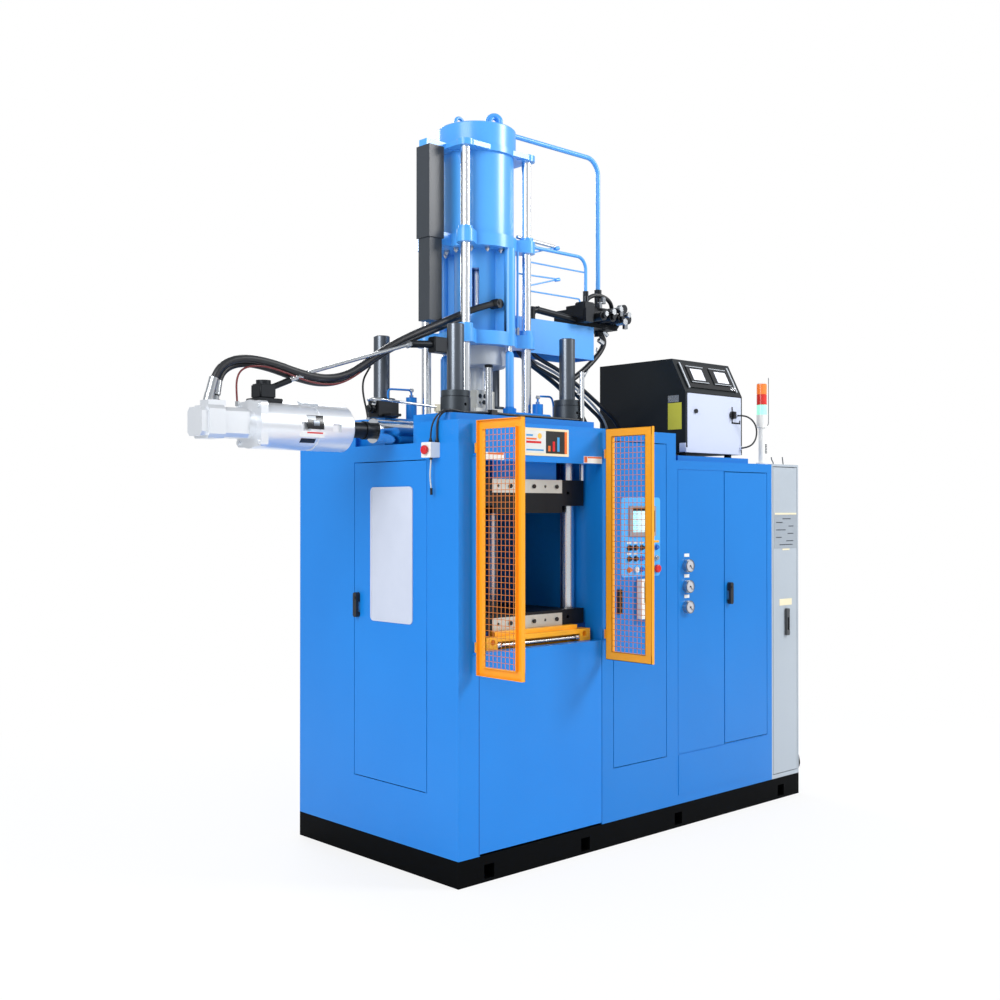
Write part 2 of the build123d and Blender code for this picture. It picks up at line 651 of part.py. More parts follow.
def moving_platen():
    """Lower platen on the ram, running on the four tie bars."""
    plate = box(PLATEN_X0, PLATEN_X1, PLATEN_Y0, PLATEN_Y1, PLATEN_Z0, PLATEN_Z1)
    for x, y in tie_places():
        plate -= rod(x, y, PLATEN_Z0 - 1, PLATEN_Z1 + 1, TIE_D + 2 * RUN_FIT)
    return plate


def clamp_ram():
    """Ram of the clamp cylinder."""
    ram = rod(AXIS_X, AXIS_Y, RAM_FOOT, PLATEN_Z0, RAM_D)
    return chamfer(ram.edges().filter_by(GeomType.CIRCLE).group_by(Axis.Z)[0], 8)


def heating_plate(z0, z1):
    """Heating plate with a row of heater bores in its front edge."""
    plate = box(HOT_X0, HOT_X1, HOT_Y0, HOT_Y1, z0, z1)
    heaters = 6
    pitch = (HOT_X1 - HOT_X0) / heaters
    for number in range(heaters):
        x = HOT_X0 + pitch * (number + 0.5)
        plate -= rod_y(HOT_Y0 - 1, HOT_Y0 + 300, x, (z0 + z1) / 2, 14)
    return plate


def adaptor(z0, z1, block_z0, block_z1):
    """Mould adaptor: a plate over the heating plate, with a block and an ear at each side."""
    plate = box(HOT_X0, HOT_X1, HOT_Y0, HOT_Y1, z0, z1)
    plate += box(HOT_X1, BLOCK_X1, HOT_Y0, HOT_Y1, block_z0, block_z1)
    plate += box(HOT_X1, ADAPTOR_X1, HOT_Y0, EAR_Y1, block_z0, block_z1)
    left = 2 * AXIS_X - BLOCK_X1
    plate += box(left, HOT_X0, HOT_Y0, HOT_Y1, block_z0, block_z1)
    for x in (HOT_X1 + 40, left + 40):
        plate -= rod_y(HOT_Y0 - 1, HOT_Y0 + 60, x, (block_z0 + block_z1) / 2, 18)
    return plate


def lower_adaptor():
    return adaptor(LOWER_HOT_Z1, LOWER_TOP, PLATEN_Z1, LOWER_TOP)


def upper_adaptor():
    """Black adaptor under the upper heating plate, bored for the nozzle."""
    plate = adaptor(UPPER_FOOT, UPPER_HOT_Z0, UPPER_FOOT + 34, UPPER_HOT_Z1)
    plate -= rod(AXIS_X, AXIS_Y, UPPER_FOOT - 1, UPPER_HOT_Z0 + 1, NOZZLE_D + 20)
    return plate


def ejector_frame():
    """Yellow frame on the front of the moving platen, stepped up in the middle."""
    step = 70.0
    foot = EJECT_TOP - EJECT_DEEP
    frame = box(EJECT_X0, EJECT_X1, EJECT_Y0, PLATEN_Y0, foot, EJECT_TOP - 20)
    frame += box(EJECT_X0 + step, EJECT_X1 - step, EJECT_Y0 + 20, PLATEN_Y0, foot, EJECT_TOP)
    frame -= box(EJECT_X0 + step, EJECT_X1 - step, EJECT_Y0 - 1, EJECT_Y0 + 34, foot - 1, EJECT_TOP - 42)
    for x in (EJECT_X0 + 40, EJECT_X1 - 40):
        frame -= rod_y(EJECT_Y0 - 1, EJECT_Y0 + 20, x, EJECT_TOP - 44, 26)
    return frame - ejector_bar_shape(0)


def ejector_bar_shape(grow):
    return rod_x(EJECT_X0 + 50, EJECT_X1 - 50, EJECT_Y0 + 17, EJECT_BAR_Z, EJECT_BAR_D + grow)


def ejector_bar():
    """Chrome bar held in the two cheeks of the ejector frame, with a ring at each end."""
    bar = ejector_bar_shape(0)
    for x in (EJECT_X0 + 71, EJECT_X1 - 71 - 24):
        bar += rod_x(x, x + 24, EJECT_Y0 + 17, EJECT_BAR_Z, EJECT_BAR_D + 13)
    return bar


def flange_outline(radius):
    """Round flange with an ear reaching to each guide rod."""
    outline = Circle(radius)
    reach = math.hypot(ROD_DX, ROD_DY)
    for x, y in rod_places():
        dx = x - AXIS_X
        dy = y - AXIS_Y
        turn = math.degrees(math.atan2(dy, dx))
        outline += Rot(0, 0, turn) * Pos(reach / 2, 0) * Rectangle(reach, 2 * FLANGE_EAR_R)
        outline += Pos(dx, dy) * Circle(FLANGE_EAR_R)
    return outline


def flange(radius, z0, z1):
    plate = Pos(AXIS_X, AXIS_Y, z0) * extrude(flange_outline(radius), z1 - z0)
    for x, y in rod_places():
        plate -= rod(x, y, z0 - 1, z1 + 1, ROD_D)
    return plate


def injector_rods():
    """Four chrome guide rods that slide in the crown and carry the flanges."""
    bars = []
    for x, y in rod_places():
        bar = rod(x, y, ROD_FOOT, TOP_FLANGE_Z1, ROD_D)
        bars.append(chamfer(bar.edges().filter_by(GeomType.CIRCLE).group_by(Axis.Z)[0], 3))
    return bars


def injector_cylinder():
    """Injection cylinder between its top and middle flanges, closed at the top."""
    body = rod(AXIS_X, AXIS_Y, MID_FLANGE_Z0, TOP_FLANGE_Z1, SHOT_D)
    body += flange(FLANGE_R, TOP_FLANGE_Z0, TOP_FLANGE_Z1)
    body += flange(FLANGE_R, MID_FLANGE_Z0, MID_FLANGE_Z1)
    for x, y in rod_places():
        collar = rod(x, y, MID_FLANGE_Z0 + 8, MID_FLANGE_Z1 + 16, 2 * FLANGE_EAR_R - 16)
        body += collar - rod(x, y, MID_FLANGE_Z0, MID_FLANGE_Z1 + 20, ROD_D)
    body += duct_tabs()
    boss_x = AXIS_X + ROD_DX + FLANGE_EAR_R
    boss = rod_x(boss_x - 14, boss_x + 12, PIPE2_Y, PIPE2_Z, PIPE2_D + 14)
    body += boss
    return body - rod(AXIS_X, AXIS_Y, MID_FLANGE_Z0 - 1, MID_FLANGE_Z1 + 260, PLUNGER_D + 2 * RUN_FIT)


def injector_cap():
    """Cap of the injection cylinder with two lifting eyes."""
    cap = rod(AXIS_X, AXIS_Y, TOP_FLANGE_Z1, CAP_TOP, CAP_D)
    cap = chamfer(cap.edges().filter_by(GeomType.CIRCLE).group_by(Axis.Z)[-1], 6)
    view = math.degrees(math.atan2(EYE_DY, EYE_DX))
    for side in (1, -1):
        x = AXIS_X + side * EYE_DX
        y = AXIS_Y + side * EYE_DY
        cap += rod(x, y, CAP_TOP - 1, CAP_TOP + 8, 50)
        cap += rod(x, y, CAP_TOP, CAP_TOP + 20, EYE_BAR + 6)
        eye = Rot(90, 0, view) * Torus(EYE_R - EYE_BAR / 2, EYE_BAR / 2)
        cap += Pos(x, y, CAP_TOP + 14 + EYE_R) * eye
    elbow = PIPE_D * 0.9
    x = AXIS_X + 80
    cap += box(x - elbow, x + elbow, AXIS_Y - elbow, AXIS_Y + elbow, CAP_TOP, PIPE_Z + elbow)
    return cap


def duct_tabs():
    """Tabs of the two upper flanges that hold the cable duct."""
    tab = box(DUCT_X0, AXIS_X, DUCT_Y0 + 20, DUCT_Y1 - 20, TOP_FLANGE_Z0, TOP_FLANGE_Z1)
    return tab + box(DUCT_X1, AXIS_X - YOKE_D / 2, DUCT_Y0 + 30, DUCT_Y1 - 30, MID_FLANGE_Z0, MID_FLANGE_Z1)


def injector_yoke():
    """Yoke with the lower flange and the two lift cylinders welded to it."""
    yoke = rod(AXIS_X, AXIS_Y, LOW_FLANGE_Z0, MID_FLANGE_Z0, YOKE_D)
    yoke += flange(FLANGE_R, LOW_FLANGE_Z0, LOW_FLANGE_Z1)
    for x, y in rod_places():
        collar = rod(x, y, LOW_FLANGE_Z1 - 1, LOW_FLANGE_Z1 + 24, 2 * FLANGE_EAR_R - 12)
        yoke += collar - rod(x, y, LOW_FLANGE_Z0, LOW_FLANGE_Z1 + 30, ROD_D)
    for x, y in lift_places():
        yoke += rod(x, y, LOW_FLANGE_Z0, MID_FLANGE_Z0, LIFT_D)
    yoke -= rod(AXIS_X, AXIS_Y, LOW_FLANGE_Z0 - 1, MID_FLANGE_Z0 + 1, YOKE_BORE)
    for x, y in lift_places():
        yoke -= rod(x, y, LOW_FLANGE_Z0 - 1, MID_FLANGE_Z0 - 30, LIFT_ROD_D + 2 * RUN_FIT)
    for turn in (-45, 45, 135, 225):
        slot = box(0, YOKE_D, -YOKE_SLOT_W / 2, YOKE_SLOT_W / 2, YOKE_SLOT_Z0, YOKE_SLOT_Z1)
        yoke -= Pos(AXIS_X, AXIS_Y) * Rot(0, 0, turn) * slot
    return yoke


def lift_rods():
    """Lift rods on the crown, each in a long shouldered sleeve."""
    rods = []
    foot = CROWN_TOP + LIFT_PAD_H
    for x, y in lift_places():
        post = rod(x, y, foot, MID_FLANGE_Z0 - LIFT_IN, LIFT_ROD_D)
        post += rod(x, y, foot + 14, LOW_FLANGE_Z0 - 40, LIFT_SLEEVE_D)
        post += Pos(x, y, LOW_FLANGE_Z0 - 40 + 9) * Cone(LIFT_SLEEVE_D / 2, LIFT_ROD_D / 2, 18)
        rods.append(post)
    return rods


def plunger():
    """Plunger of the injection cylinder, seen through the slots of the yoke."""
    bar = rod(AXIS_X, AXIS_Y, PLUNGER_Z0, PLUNGER_Z1, PLUNGER_D)
    return chamfer(bar.edges().filter_by(GeomType.CIRCLE), 4)


def injection_ring():
    """Cast ring under the lower flange with the nozzle body below it."""
    ring = rod(AXIS_X, AXIS_Y, RING_Z0, LOW_FLANGE_Z0, RING_D)
    ring = chamfer(ring.edges().filter_by(GeomType.CIRCLE).group_by(Axis.Z)[0], 6)
    ring += rod(AXIS_X, AXIS_Y, THROAT_Z1, RING_Z0, NOZZLE_D)
    ring += rod(AXIS_X + 64, AXIS_Y - 20, THROAT_Z1, RING_Z0, NOZZLE_D * 0.6)
    return ring - rod(AXIS_X, AXIS_Y, RING_Z0 + 22, LOW_FLANGE_Z0 + 1, YOKE_BORE)


def injection_head():
    """Injection head in the channel of the crown, with its nozzle reaching the mould."""
    half = HEAD_W / 2
    head = box(AXIS_X - half, AXIS_X + half, AXIS_Y - half, AXIS_Y + half, HEAD_Z0, HEAD_Z1)
    head = fillet(head.edges().filter_by(Axis.Z), 8)
    head += box(AXIS_X - 62, AXIS_X + 6, AXIS_Y - 70, AXIS_Y + 30, HEAD_Z1, THROAT_Z1)
    head += rod(AXIS_X + 60, AXIS_Y - 16, HEAD_Z1, THROAT_Z1, 66)
    head += rod(AXIS_X, AXIS_Y, UPPER_FOOT + 40, HEAD_Z0, NOZZLE_D)
    tip = Cone(NOZZLE_D / 2, 12, 30)
    head += Pos(AXIS_X, AXIS_Y, UPPER_FOOT + 25) * Rot(180, 0, 0) * tip
    for x in (AXIS_X - 40, AXIS_X - 12):
        for z in (HEAD_Z1 + 28, HEAD_Z1 + 62):
            head -= rod_y(AXIS_Y - 71, AXIS_Y - 58, x, z, 14)
    return head


def plasticiser_barrel():
    """Barrel that feeds rubber to the injection head, with the flange at its drive end."""
    barrel = rod_x(BARREL_X0, AXIS_X - HEAD_W / 2, AXIS_Y, SCREW_Z, BARREL_D)
    barrel += rod_x(BARREL_X0 - BARREL_LIP, BARREL_X0, AXIS_Y, SCREW_Z, BARREL_D + 4)
    throat = box(BARREL_X0 + 14, BARREL_X0 + 74, AXIS_Y - 18, AXIS_Y + 18, SCREW_Z + 20, SCREW_Z + BARREL_D)
    return barrel - throat


def screw_coupling():
    """Coupling tube between the barrel and the gear housing."""
    tube = rod_x(COUPLING_X0, BARREL_X0 - BARREL_LIP, AXIS_Y, SCREW_Z, COUPLING_D)
    tube += rod_x(COUPLING_X0, COUPLING_X0 + 18, AXIS_Y, SCREW_Z, COUPLING_D + 16)
    return tube + rod_x(BARREL_X0 - 70, BARREL_X0 - 52, AXIS_Y, SCREW_Z, COUPLING_D + 10)


def gear_housing():
    """Cast gear housing with a square bolted flange at its motor end."""
    body = rod_x(GEARBOX_X0, COUPLING_X0, AXIS_Y, SCREW_Z, GEARBOX_D)
    body = chamfer(body.edges().filter_by(GeomType.CIRCLE).group_by(Axis.X)[-1], 10)
    half = GEARBOX_PLATE / 2
    plate_x1 = GEARBOX_X0 + GEARBOX_PLATE_T
    plate = box(GEARBOX_X0, plate_x1, AXIS_Y - half, AXIS_Y + half, SCREW_Z - half, SCREW_Z + half)
    body += fillet(plate.edges().filter_by(Axis.X), 18)
    groove = COUPLING_X0 - 204
    ring = rod_x(groove, groove + 20, AXIS_Y, SCREW_Z, GEARBOX_D + 2)
    body -= ring - rod_x(groove, groove + 20, AXIS_Y, SCREW_Z, GEARBOX_D - 6)
    for x in (COUPLING_X0 - 284, COUPLING_X0 - 124):
        body -= box(x, x + 46, AXIS_Y - GEARBOX_D, AXIS_Y - GEARBOX_D / 2 + 12, SCREW_Z - 22, SCREW_Z + 14)
    bolt = half - 19
    for sy in (-1, 1):
        for sz in (-1, 1):
            body += rod_x(GEARBOX_X0 - 9, GEARBOX_X0, AXIS_Y + sy * bolt, SCREW_Z + sz * bolt, 20)
    return body


def hydraulic_motor():
    """Hydraulic motor with its end cover and the port block on top."""
    neck = GEARBOX_X0 - 34
    step = MOTOR_X0 + 103
    cover = MOTOR_X0 + 30
    body = rod_x(neck, GEARBOX_X0, AXIS_Y, SCREW_Z, MOTOR_H - 12)
    half = MOTOR_H / 2
    for x0, x1, trim in ((step, neck, 6.0), (cover, step, 0.0), (MOTOR_X0, cover, 9.0)):
        h = half - trim
        block = box(x0, x1, AXIS_Y - h, AXIS_Y + h, SCREW_Z - h, SCREW_Z + h)
        body += chamfer(block.edges().filter_by(Axis.X), 16)
    top = SCREW_Z + half
    body += box(MOTOR_X0 + 43, MOTOR_X0 + 123, AXIS_Y - 34, AXIS_Y + 34, top - 1, top + PORT_H)
    return body


def cable_duct():
    """Square cable duct beside the injection cylinder, in two lengths."""
    duct = box(DUCT_X0, DUCT_X1, DUCT_Y0, DUCT_Y1, DUCT_STEP_Z, TOP_FLANGE_Z0)
    trim = DUCT_TRIM
    duct += box(DUCT_X0 + trim, DUCT_X1 - trim, DUCT_Y0 + trim, DUCT_Y1 - trim, DUCT_Z0, DUCT_STEP_Z)
    return duct


def arm_box():
    """Folded arm on the lower flange, open underneath, that carries the valves."""
    arm = box(ARM_X0, ARM_X1, ARM_Y0, ARM_Y1, ARM_Z0, ARM_Z1)
    w = ARM_WALL
    arm -= box(ARM_X0 + w, ARM_X1 - w, ARM_Y0 + w, ARM_Y1 - w, ARM_Z0 - 1, ARM_Z1 - w)
    arm -= Pos(AXIS_X, AXIS_Y, ARM_Z0 - 1) * extrude(flange_outline(FLANGE_R), LOW_FLANGE_Z1 - ARM_Z0 + 1)
    for x, y in rod_places():
        arm -= rod(x, y, ARM_Z0 - 1, ARM_Z1 + 1, 2 * FLANGE_EAR_R)
    return arm


def valve_manifold():
    """Valve blocks on the arm, with solenoids in front and fittings on top."""
    block = box(MANIFOLD_X0, MANIFOLD_X1, MANIFOLD_Y0 + 60, MANIFOLD_Y1, ARM_Z1, MANIFOLD_Z1 - 30)
    block += box(MANIFOLD_X0 + 60, MANIFOLD_X1 - 30, MANIFOLD_Y0 + 90, MANIFOLD_Y1 - 30, ARM_Z1, MANIFOLD_Z1)
    block += box(MANIFOLD_X0, MANIFOLD_X0 + 56, MANIFOLD_Y0 - 10, MANIFOLD_Y0 + 60, ARM_Z1 + 10, ARM_Z1 + 80)
    for x in (MANIFOLD_X0 + 100, MANIFOLD_X0 + 170, MANIFOLD_X0 + 240):
        block += rod_y(MANIFOLD_Y0 - 40, MANIFOLD_Y0 + 60, x, ARM_Z1 + 46, VALVE_D)
        block += rod_y(MANIFOLD_Y0 - 52, MANIFOLD_Y0 - 40, x, ARM_Z1 + 46, VALVE_D / 2)
    block += rod(PIPE_X, AXIS_Y, MANIFOLD_Z1, PIPE_FOOT, PIPE_D + 14)
    block += rod(PIPE2_X, PIPE2_Y, ARM_Z1 + 80, PIPE2_FOOT, PIPE2_D + 12)
    block += rod_x(MANIFOLD_X1, MANIFOLD_X1 + 46, MANIFOLD_Y0 + 110, ARM_Z1 + 40, 46)
    return block


def tube(path, diameter):
    section = Plane(origin=path @ 0, z_dir=path % 0) * Circle(diameter / 2)
    return sweep(section, path=path)


def oil_pipes():
    """Two rigid oil pipes from the injection cylinder to the manifold."""
    start = AXIS_X + 80 + PIPE_D * 0.9
    corner = (PIPE_X, AXIS_Y, PIPE_Z)
    foot = (PIPE_X, AXIS_Y, PIPE_FOOT)
    main = tube(FilletPolyline((start, AXIS_Y, PIPE_Z), corner, foot, radius=PIPE_BEND), PIPE_D)
    start = AXIS_X + ROD_DX + FLANGE_EAR_R + 12
    corner = (PIPE2_X, PIPE2_Y, PIPE2_Z)
    foot = (PIPE2_X, PIPE2_Y, PIPE2_FOOT)
    return main, tube(FilletPolyline((start, PIPE2_Y, PIPE2_Z), corner, foot, radius=PIPE2_BEND), PIPE2_D)


def controller_profile():
    """Side outline of the temperature controller, sloping back above its front panel."""
    y0 = CONTROLLER_Y0
    points = [(y0, CONTROLLER_Z0), (y0, CONTROLLER_FACE_Z), (CONTROLLER_SLOPE_Y, CONTROLLER_Z1)]
    points += [(CONTROLLER_Y1, CONTROLLER_Z1), (CONTROLLER_Y1, CONTROLLER_Z0)]
    return Plane.YZ * make_face(Polyline(*points, close=True))


def controller_case():
    """Black sheet case of the temperature controller on its four feet."""
    case = Pos(CONTROLLER_X0, 0, 0) * extrude(controller_profile(), CONTROLLER_X1 - CONTROLLER_X0)
    x0 = CONTROLLER_X0 + 14
    x1 = CONTROLLER_X1 - 14
    case -= box(x0, x1, 0, CONTROLLER_Y0 + 6, CONTROLLER_Z0 + 10, CONTROLLER_FACE_Z - 6)
    for x in (CONTROLLER_X0 + 50, CONTROLLER_X1 - 50):
        for y in (CONTROLLER_Y0 + 60, CONTROLLER_Y1 - 60):
            case += rod(x, y, PLINTH_TOP, CONTROLLER_Z0, 40)
    for row in range(5):
        z = CONTROLLER_Z0 + 60 + row * 26
        case -= box(CONTROLLER_X1 - 2, CONTROLLER_X1 + 1, CONTROLLER_Y0 + 300, CONTROLLER_Y1 - 80, z, z + 8)
    return case


def controller_front():
    """White front panel of the controller, set into the case."""
    x0 = CONTROLLER_X0 + 15
    x1 = CONTROLLER_X1 - 15
    panel = box(x0, x1, CONTROLLER_Y0 - 4, CONTROLLER_Y0 + 6, CONTROLLER_Z0 + 11, CONTROLLER_FACE_Z - 7)
    panel = fillet(panel.edges().filter_by(Axis.Y), 6)
    panel -= rod_y(CONTROLLER_Y0 - 5, CONTROLLER_Y0 + 7, ISOLATOR_X, ISOLATOR_Z, ISOLATOR_STEM_D)
    return panel


def slope_plane():
    """Plane on the sloping display face, x along the case and y up the slope."""
    rise = CONTROLLER_Z1 - CONTROLLER_FACE_Z
    run = CONTROLLER_SLOPE_Y - CONTROLLER_Y0
    middle = ((CONTROLLER_X0 + CONTROLLER_X1) / 2, (CONTROLLER_Y0 + CONTROLLER_SLOPE_Y) / 2,
              (CONTROLLER_FACE_Z + CONTROLLER_Z1) / 2)
    return Plane(origin=middle, x_dir=(1, 0, 0), z_dir=(0, -rise, run))


def controller_displays():
    """Display bezel on the slope, with two raised windows."""
    bezel = extrude(slope_plane() * RectangleRounded(CONTROLLER_X1 - CONTROLLER_X0 - 60, 150, 10), 8)
    for x in (-100, 100):
        bezel += extrude(slope_plane() * Pos(x, 6, 0) * RectangleRounded(150, 104, 6), 13)
    return bezel


def isolator_knob():
    """Rotary isolator knob with its bar grip."""
    front = CONTROLLER_Y0 - 4 - SEAT
    knob = rod_y(front - 10, front, ISOLATOR_X, ISOLATOR_Z, ISOLATOR_D)
    half = ISOLATOR_D / 2 - 3
    knob += box(ISOLATOR_X - 6, ISOLATOR_X + 6, front - 26, front - 9, ISOLATOR_Z - half, ISOLATOR_Z + half)
    stem = rod_y(front, CONTROLLER_Y0 + 5, ISOLATOR_X, ISOLATOR_Z, ISOLATOR_STEM_D - 2 * RUN_FIT)
    return knob + stem


def signal_tower():
    """Pole and base of the signal tower."""
    tower = rod(SIGNAL_X, SIGNAL_Y, POWER_TOP, SIGNAL_BASE_Z, SIGNAL_POLE_D)
    tower += rod(SIGNAL_X, SIGNAL_Y, POWER_TOP, POWER_TOP + 8, 52)
    return tower + rod(SIGNAL_X, SIGNAL_Y, SIGNAL_BASE_Z - 1, SIGNAL_LENS_Z, SIGNAL_D)


def signal_lenses():
    """Three stacked lamp lenses."""
    lenses = []
    for number in range(3):
        z = SIGNAL_LENS_Z + number * LENS_H
        lens = rod(SIGNAL_X, SIGNAL_Y, z, z + LENS_H - 3, SIGNAL_D - 2)
        lens += rod(SIGNAL_X, SIGNAL_Y, z + LENS_H - 3, z + LENS_H, SIGNAL_D - 8)
        lenses.append(lens)
    return lenses


def estop_box():
    """Small box beside the notch, for the second emergency stop."""
    shell = box(-BOX_DEEP, 0, BOX_Y0, BOX_Y1, BOX_Z0, BOX_Z1)
    shell = fillet(shell.edges().filter_by(Axis.X), 5)
    y = (BOX_Y0 + BOX_Y1) / 2
    z = (BOX_Z0 + BOX_Z1) / 2
    return shell - rod_x(-BOX_DEEP - 1, -BOX_DEEP + BOX_BORE_DEEP, y, z, BOX_BORE)


def box_estop():
    """Mushroom button of the second emergency stop, with its stem in the box."""
    y = (BOX_Y0 + BOX_Y1) / 2
    z = (BOX_Z0 + BOX_Z1) / 2
    face = -BOX_DEEP - SEAT - PLUNGE
    cap = rod_x(face - 12, face, y, z, ESTOP_D)
    cap = fillet(cap.edges().filter_by(GeomType.CIRCLE).group_by(Axis.X)[0], 5)
    return cap + rod_x(face, -BOX_DEEP + BOX_BORE_DEEP - PLUNGE - 1, y, z, BOX_BORE - 2 * RUN_FIT)


def pivot(opening):
    """Place of a door's pivot pins, just inside its right edge."""
    return opening[1] - DOOR_GAP - PIVOT_INSET, PIVOT_INSET


def door_leaf(opening):
    """Folded sheet door with its edges turned in, bored for its two pivot pins."""
    x0 = opening[0] + DOOR_GAP
    x1 = opening[1] - DOOR_GAP
    z0 = opening[2] + DOOR_GAP
    z1 = opening[3] - DOOR_GAP
    leaf = box(x0, x1, 0, DOOR_DEPTH, z0, z1)
    t = DOOR_SHEET
    leaf -= box(x0 + t, x1 - t, t, DOOR_DEPTH + 1, z0 + t, z1 - t)
    x, y = pivot(opening)
    return leaf - rod(x, y, z0 - 1, z1 + 1, PIVOT_D + 2 * RUN_FIT)


def door_pivots(opening):
    """Pivot pins at the foot and head of a door, each on a tab behind the front sheet."""
    x, y = pivot(opening)
    z0 = opening[2]
    z1 = opening[3]
    tabs = rod(x, y, z0 - PIVOT_TAB, z0 + DOOR_GAP + PIVOT_IN, PIVOT_D)
    tabs += rod(x, y, z1 - DOOR_GAP - PIVOT_IN, z1 + PIVOT_TAB, PIVOT_D)
    tabs += box(x - 14, x + 14, SHEET, y + 12, z0 - PIVOT_TAB, z0)
    tabs += box(x - 14, x + 14, SHEET, y + 12, z1, z1 + PIVOT_TAB)
    return tabs


def on_left(shape):
    """Turn a front piece to face left; the front's -x becomes the left side's y."""
    return Rot(0, 0, -90) * shape


def access_opening():
    return (-ACCESS_Y1, -ACCESS_Y0, ACCESS_Z0, ACCESS_Z1)


def window_sketch(grow):
    wide = WINDOW_Y1 - WINDOW_Y0 + 2 * grow
    tall = WINDOW_Z1 - WINDOW_Z0 + 2 * grow
    return Plane.XZ * RectangleRounded(wide, tall, WINDOW_R + grow)


def window_place():
    return Pos(-(WINDOW_Y0 + WINDOW_Y1) / 2, 0, (WINDOW_Z0 + WINDOW_Z1) / 2)


def access_door():
    """Door of the left side, cut out for its window and its handle."""
    leaf = door_leaf(access_opening())
    leaf -= window_place() * Pos(0, DOOR_SHEET + 1, 0) * extrude(window_sketch(-12), DOOR_SHEET + 2)
    leaf -= rod_y(-1, DOOR_SHEET + 1, -HANDLE_Y, ACCESS_HANDLE_Z1 - HANDLE_PIVOT, SPINDLE_D + 2 * RUN_FIT)
    return on_left(leaf)


def access_window():
    """Pale window pane with a rounded rim, seated on the door."""
    pane = window_place() * extrude(window_sketch(0), WINDOW_T)
    pane -= window_place() * Pos(0, -WINDOW_T + 1.5, 0) * extrude(window_sketch(-10), 5)
    return on_left(pane)


def swing_handle(x, z0, z1):
    """Black swing handle: a grip on a spindle that passes through the door sheet."""
    grip = box(x - HANDLE_W / 2, x + HANDLE_W / 2, -HANDLE_DEEP, -SEAT, z0, z1)
    grip = fillet(grip.edges().filter_by(Axis.Y), HANDLE_W / 2 - 1)
    grip -= box(x - HANDLE_W, x + HANDLE_W, -HANDLE_DEEP / 2, 0, z0 + 24, z1 - 44)
    pivot_z = z1 - HANDLE_PIVOT
    grip += rod_y(-HANDLE_DEEP - 3, -HANDLE_DEEP + 1, x, pivot_z, 16)
    grip += rod_y(-SEAT - 1, 16, x, pivot_z, SPINDLE_D)
    return grip + box(x - 8, x + 30, 10, 16, pivot_z - 8, pivot_z + 8)


def power_door():
    leaf = door_leaf(POWER_DOOR)
    return leaf - rod_y(-1, DOOR_SHEET + 1, HANDLE_X, HANDLE_Z1 - HANDLE_PIVOT, SPINDLE_D + 2 * RUN_FIT)


def grey_door():
    """Door of the grey cabinet with its fixed pull handle."""
    leaf = door_leaf(GREY_DOOR)
    half = GREY_HANDLE_W / 2
    grip = box(GREY_HANDLE_X - half, GREY_HANDLE_X + half, -16, 0, GREY_HANDLE_Z0, GREY_HANDLE_Z1)
    grip = fillet(grip.edges().filter_by(Axis.Y), 6)
    half -= 6
    foot = GREY_HANDLE_Z0 + 30
    head = GREY_HANDLE_Z1 - 50
    pocket = box(GREY_HANDLE_X - half, GREY_HANDLE_X + half, -17, -4, foot, head)
    return leaf + grip - pocket


def operator_places():
    """Places on the operator plate, numbered by column and row."""
    return [(x, z) for x in CONTROL_COLS for z in CONTROL_ROWS]


def control_door():
    """Door of the control cabinet with its operator plate and the fixed controls on it."""
    leaf = door_leaf(CONTROL_DOOR)
    wide = OPERATOR_X1 - OPERATOR_X0
    tall = OPERATOR_Z1 - OPERATOR_Z0
    plate = Plane.XZ * RectangleRounded(wide, tall, 18)
    middle = Pos((OPERATOR_X0 + OPERATOR_X1) / 2, 0, (OPERATOR_Z0 + OPERATOR_Z1) / 2)
    leaf += middle * extrude(plate, OPERATOR_T)
    moving = (MODE_PLACE, START_PLACE, ESTOP_PLACE)
    for place in operator_places():
        x, z = place
        if place in moving:
            leaf -= rod_y(-OPERATOR_T - 1, DOOR_SHEET + 1, x, z, STEM_D + 2 * RUN_FIT)
        else:
            leaf += rod_y(-OPERATOR_T - BEZEL_T, -OPERATOR_T, x, z, KNOB_D)
            leaf += rod_y(-OPERATOR_T - KNOB_L * 0.7, -OPERATOR_T, x, z, KNOB_D * 0.7)
    leaf -= box(SCREEN_X0, SCREEN_X1, -OPERATOR_T - 1, DOOR_SHEET + 1, SCREEN_Z0, SCREEN_Z1)
    strip = box(SOCKET_X - 14, SOCKET_X + 14, -10, 0, SOCKET_Z0, SOCKET_Z1)
    for number in range(4):
        z = SOCKET_Z0 + (SOCKET_Z1 - SOCKET_Z0) * (number + 0.5) / 4
        strip -= rod_y(-11, -4, SOCKET_X, z, 20)
    leaf += strip
    unit = box(SWITCH_X0, SWITCH_X1, -34, 0, SWITCH_Z0, SWITCH_Z1)
    unit = fillet(unit.edges().filter_by(Axis.Z), 4)
    return leaf + unit - box(SWITCH_X0 + 20, SWITCH_X1 - 8, -35, -29, SWITCH_Z0 + 80, SWITCH_Z1 - 16)


def touch_screen():
    """Touch screen pushed into its cut-out, with a raised bezel."""
    over = 7.0
    front = -OPERATOR_T - SCREEN_PROUD
    unit = box(SCREEN_X0 - over, SCREEN_X1 + over, front, -OPERATOR_T, SCREEN_Z0 - over, SCREEN_Z1 + over)
    unit = fillet(unit.edges().filter_by(Axis.Y), 5)
    unit += box(SCREEN_X0 + SEAT, SCREEN_X1 - SEAT, -OPERATOR_T, 45, SCREEN_Z0 + SEAT, SCREEN_Z1 - SEAT)
    return unit - box(SCREEN_X0 + 14, SCREEN_X1 - 26, front - 1, front + 2, SCREEN_Z0 + 14, SCREEN_Z1 - 18)


def panel_stem(place, back):
    x, z = place
    return rod_y(-OPERATOR_T - SEAT - 1 - back, DOOR_SHEET + 14, x, z, STEM_D)


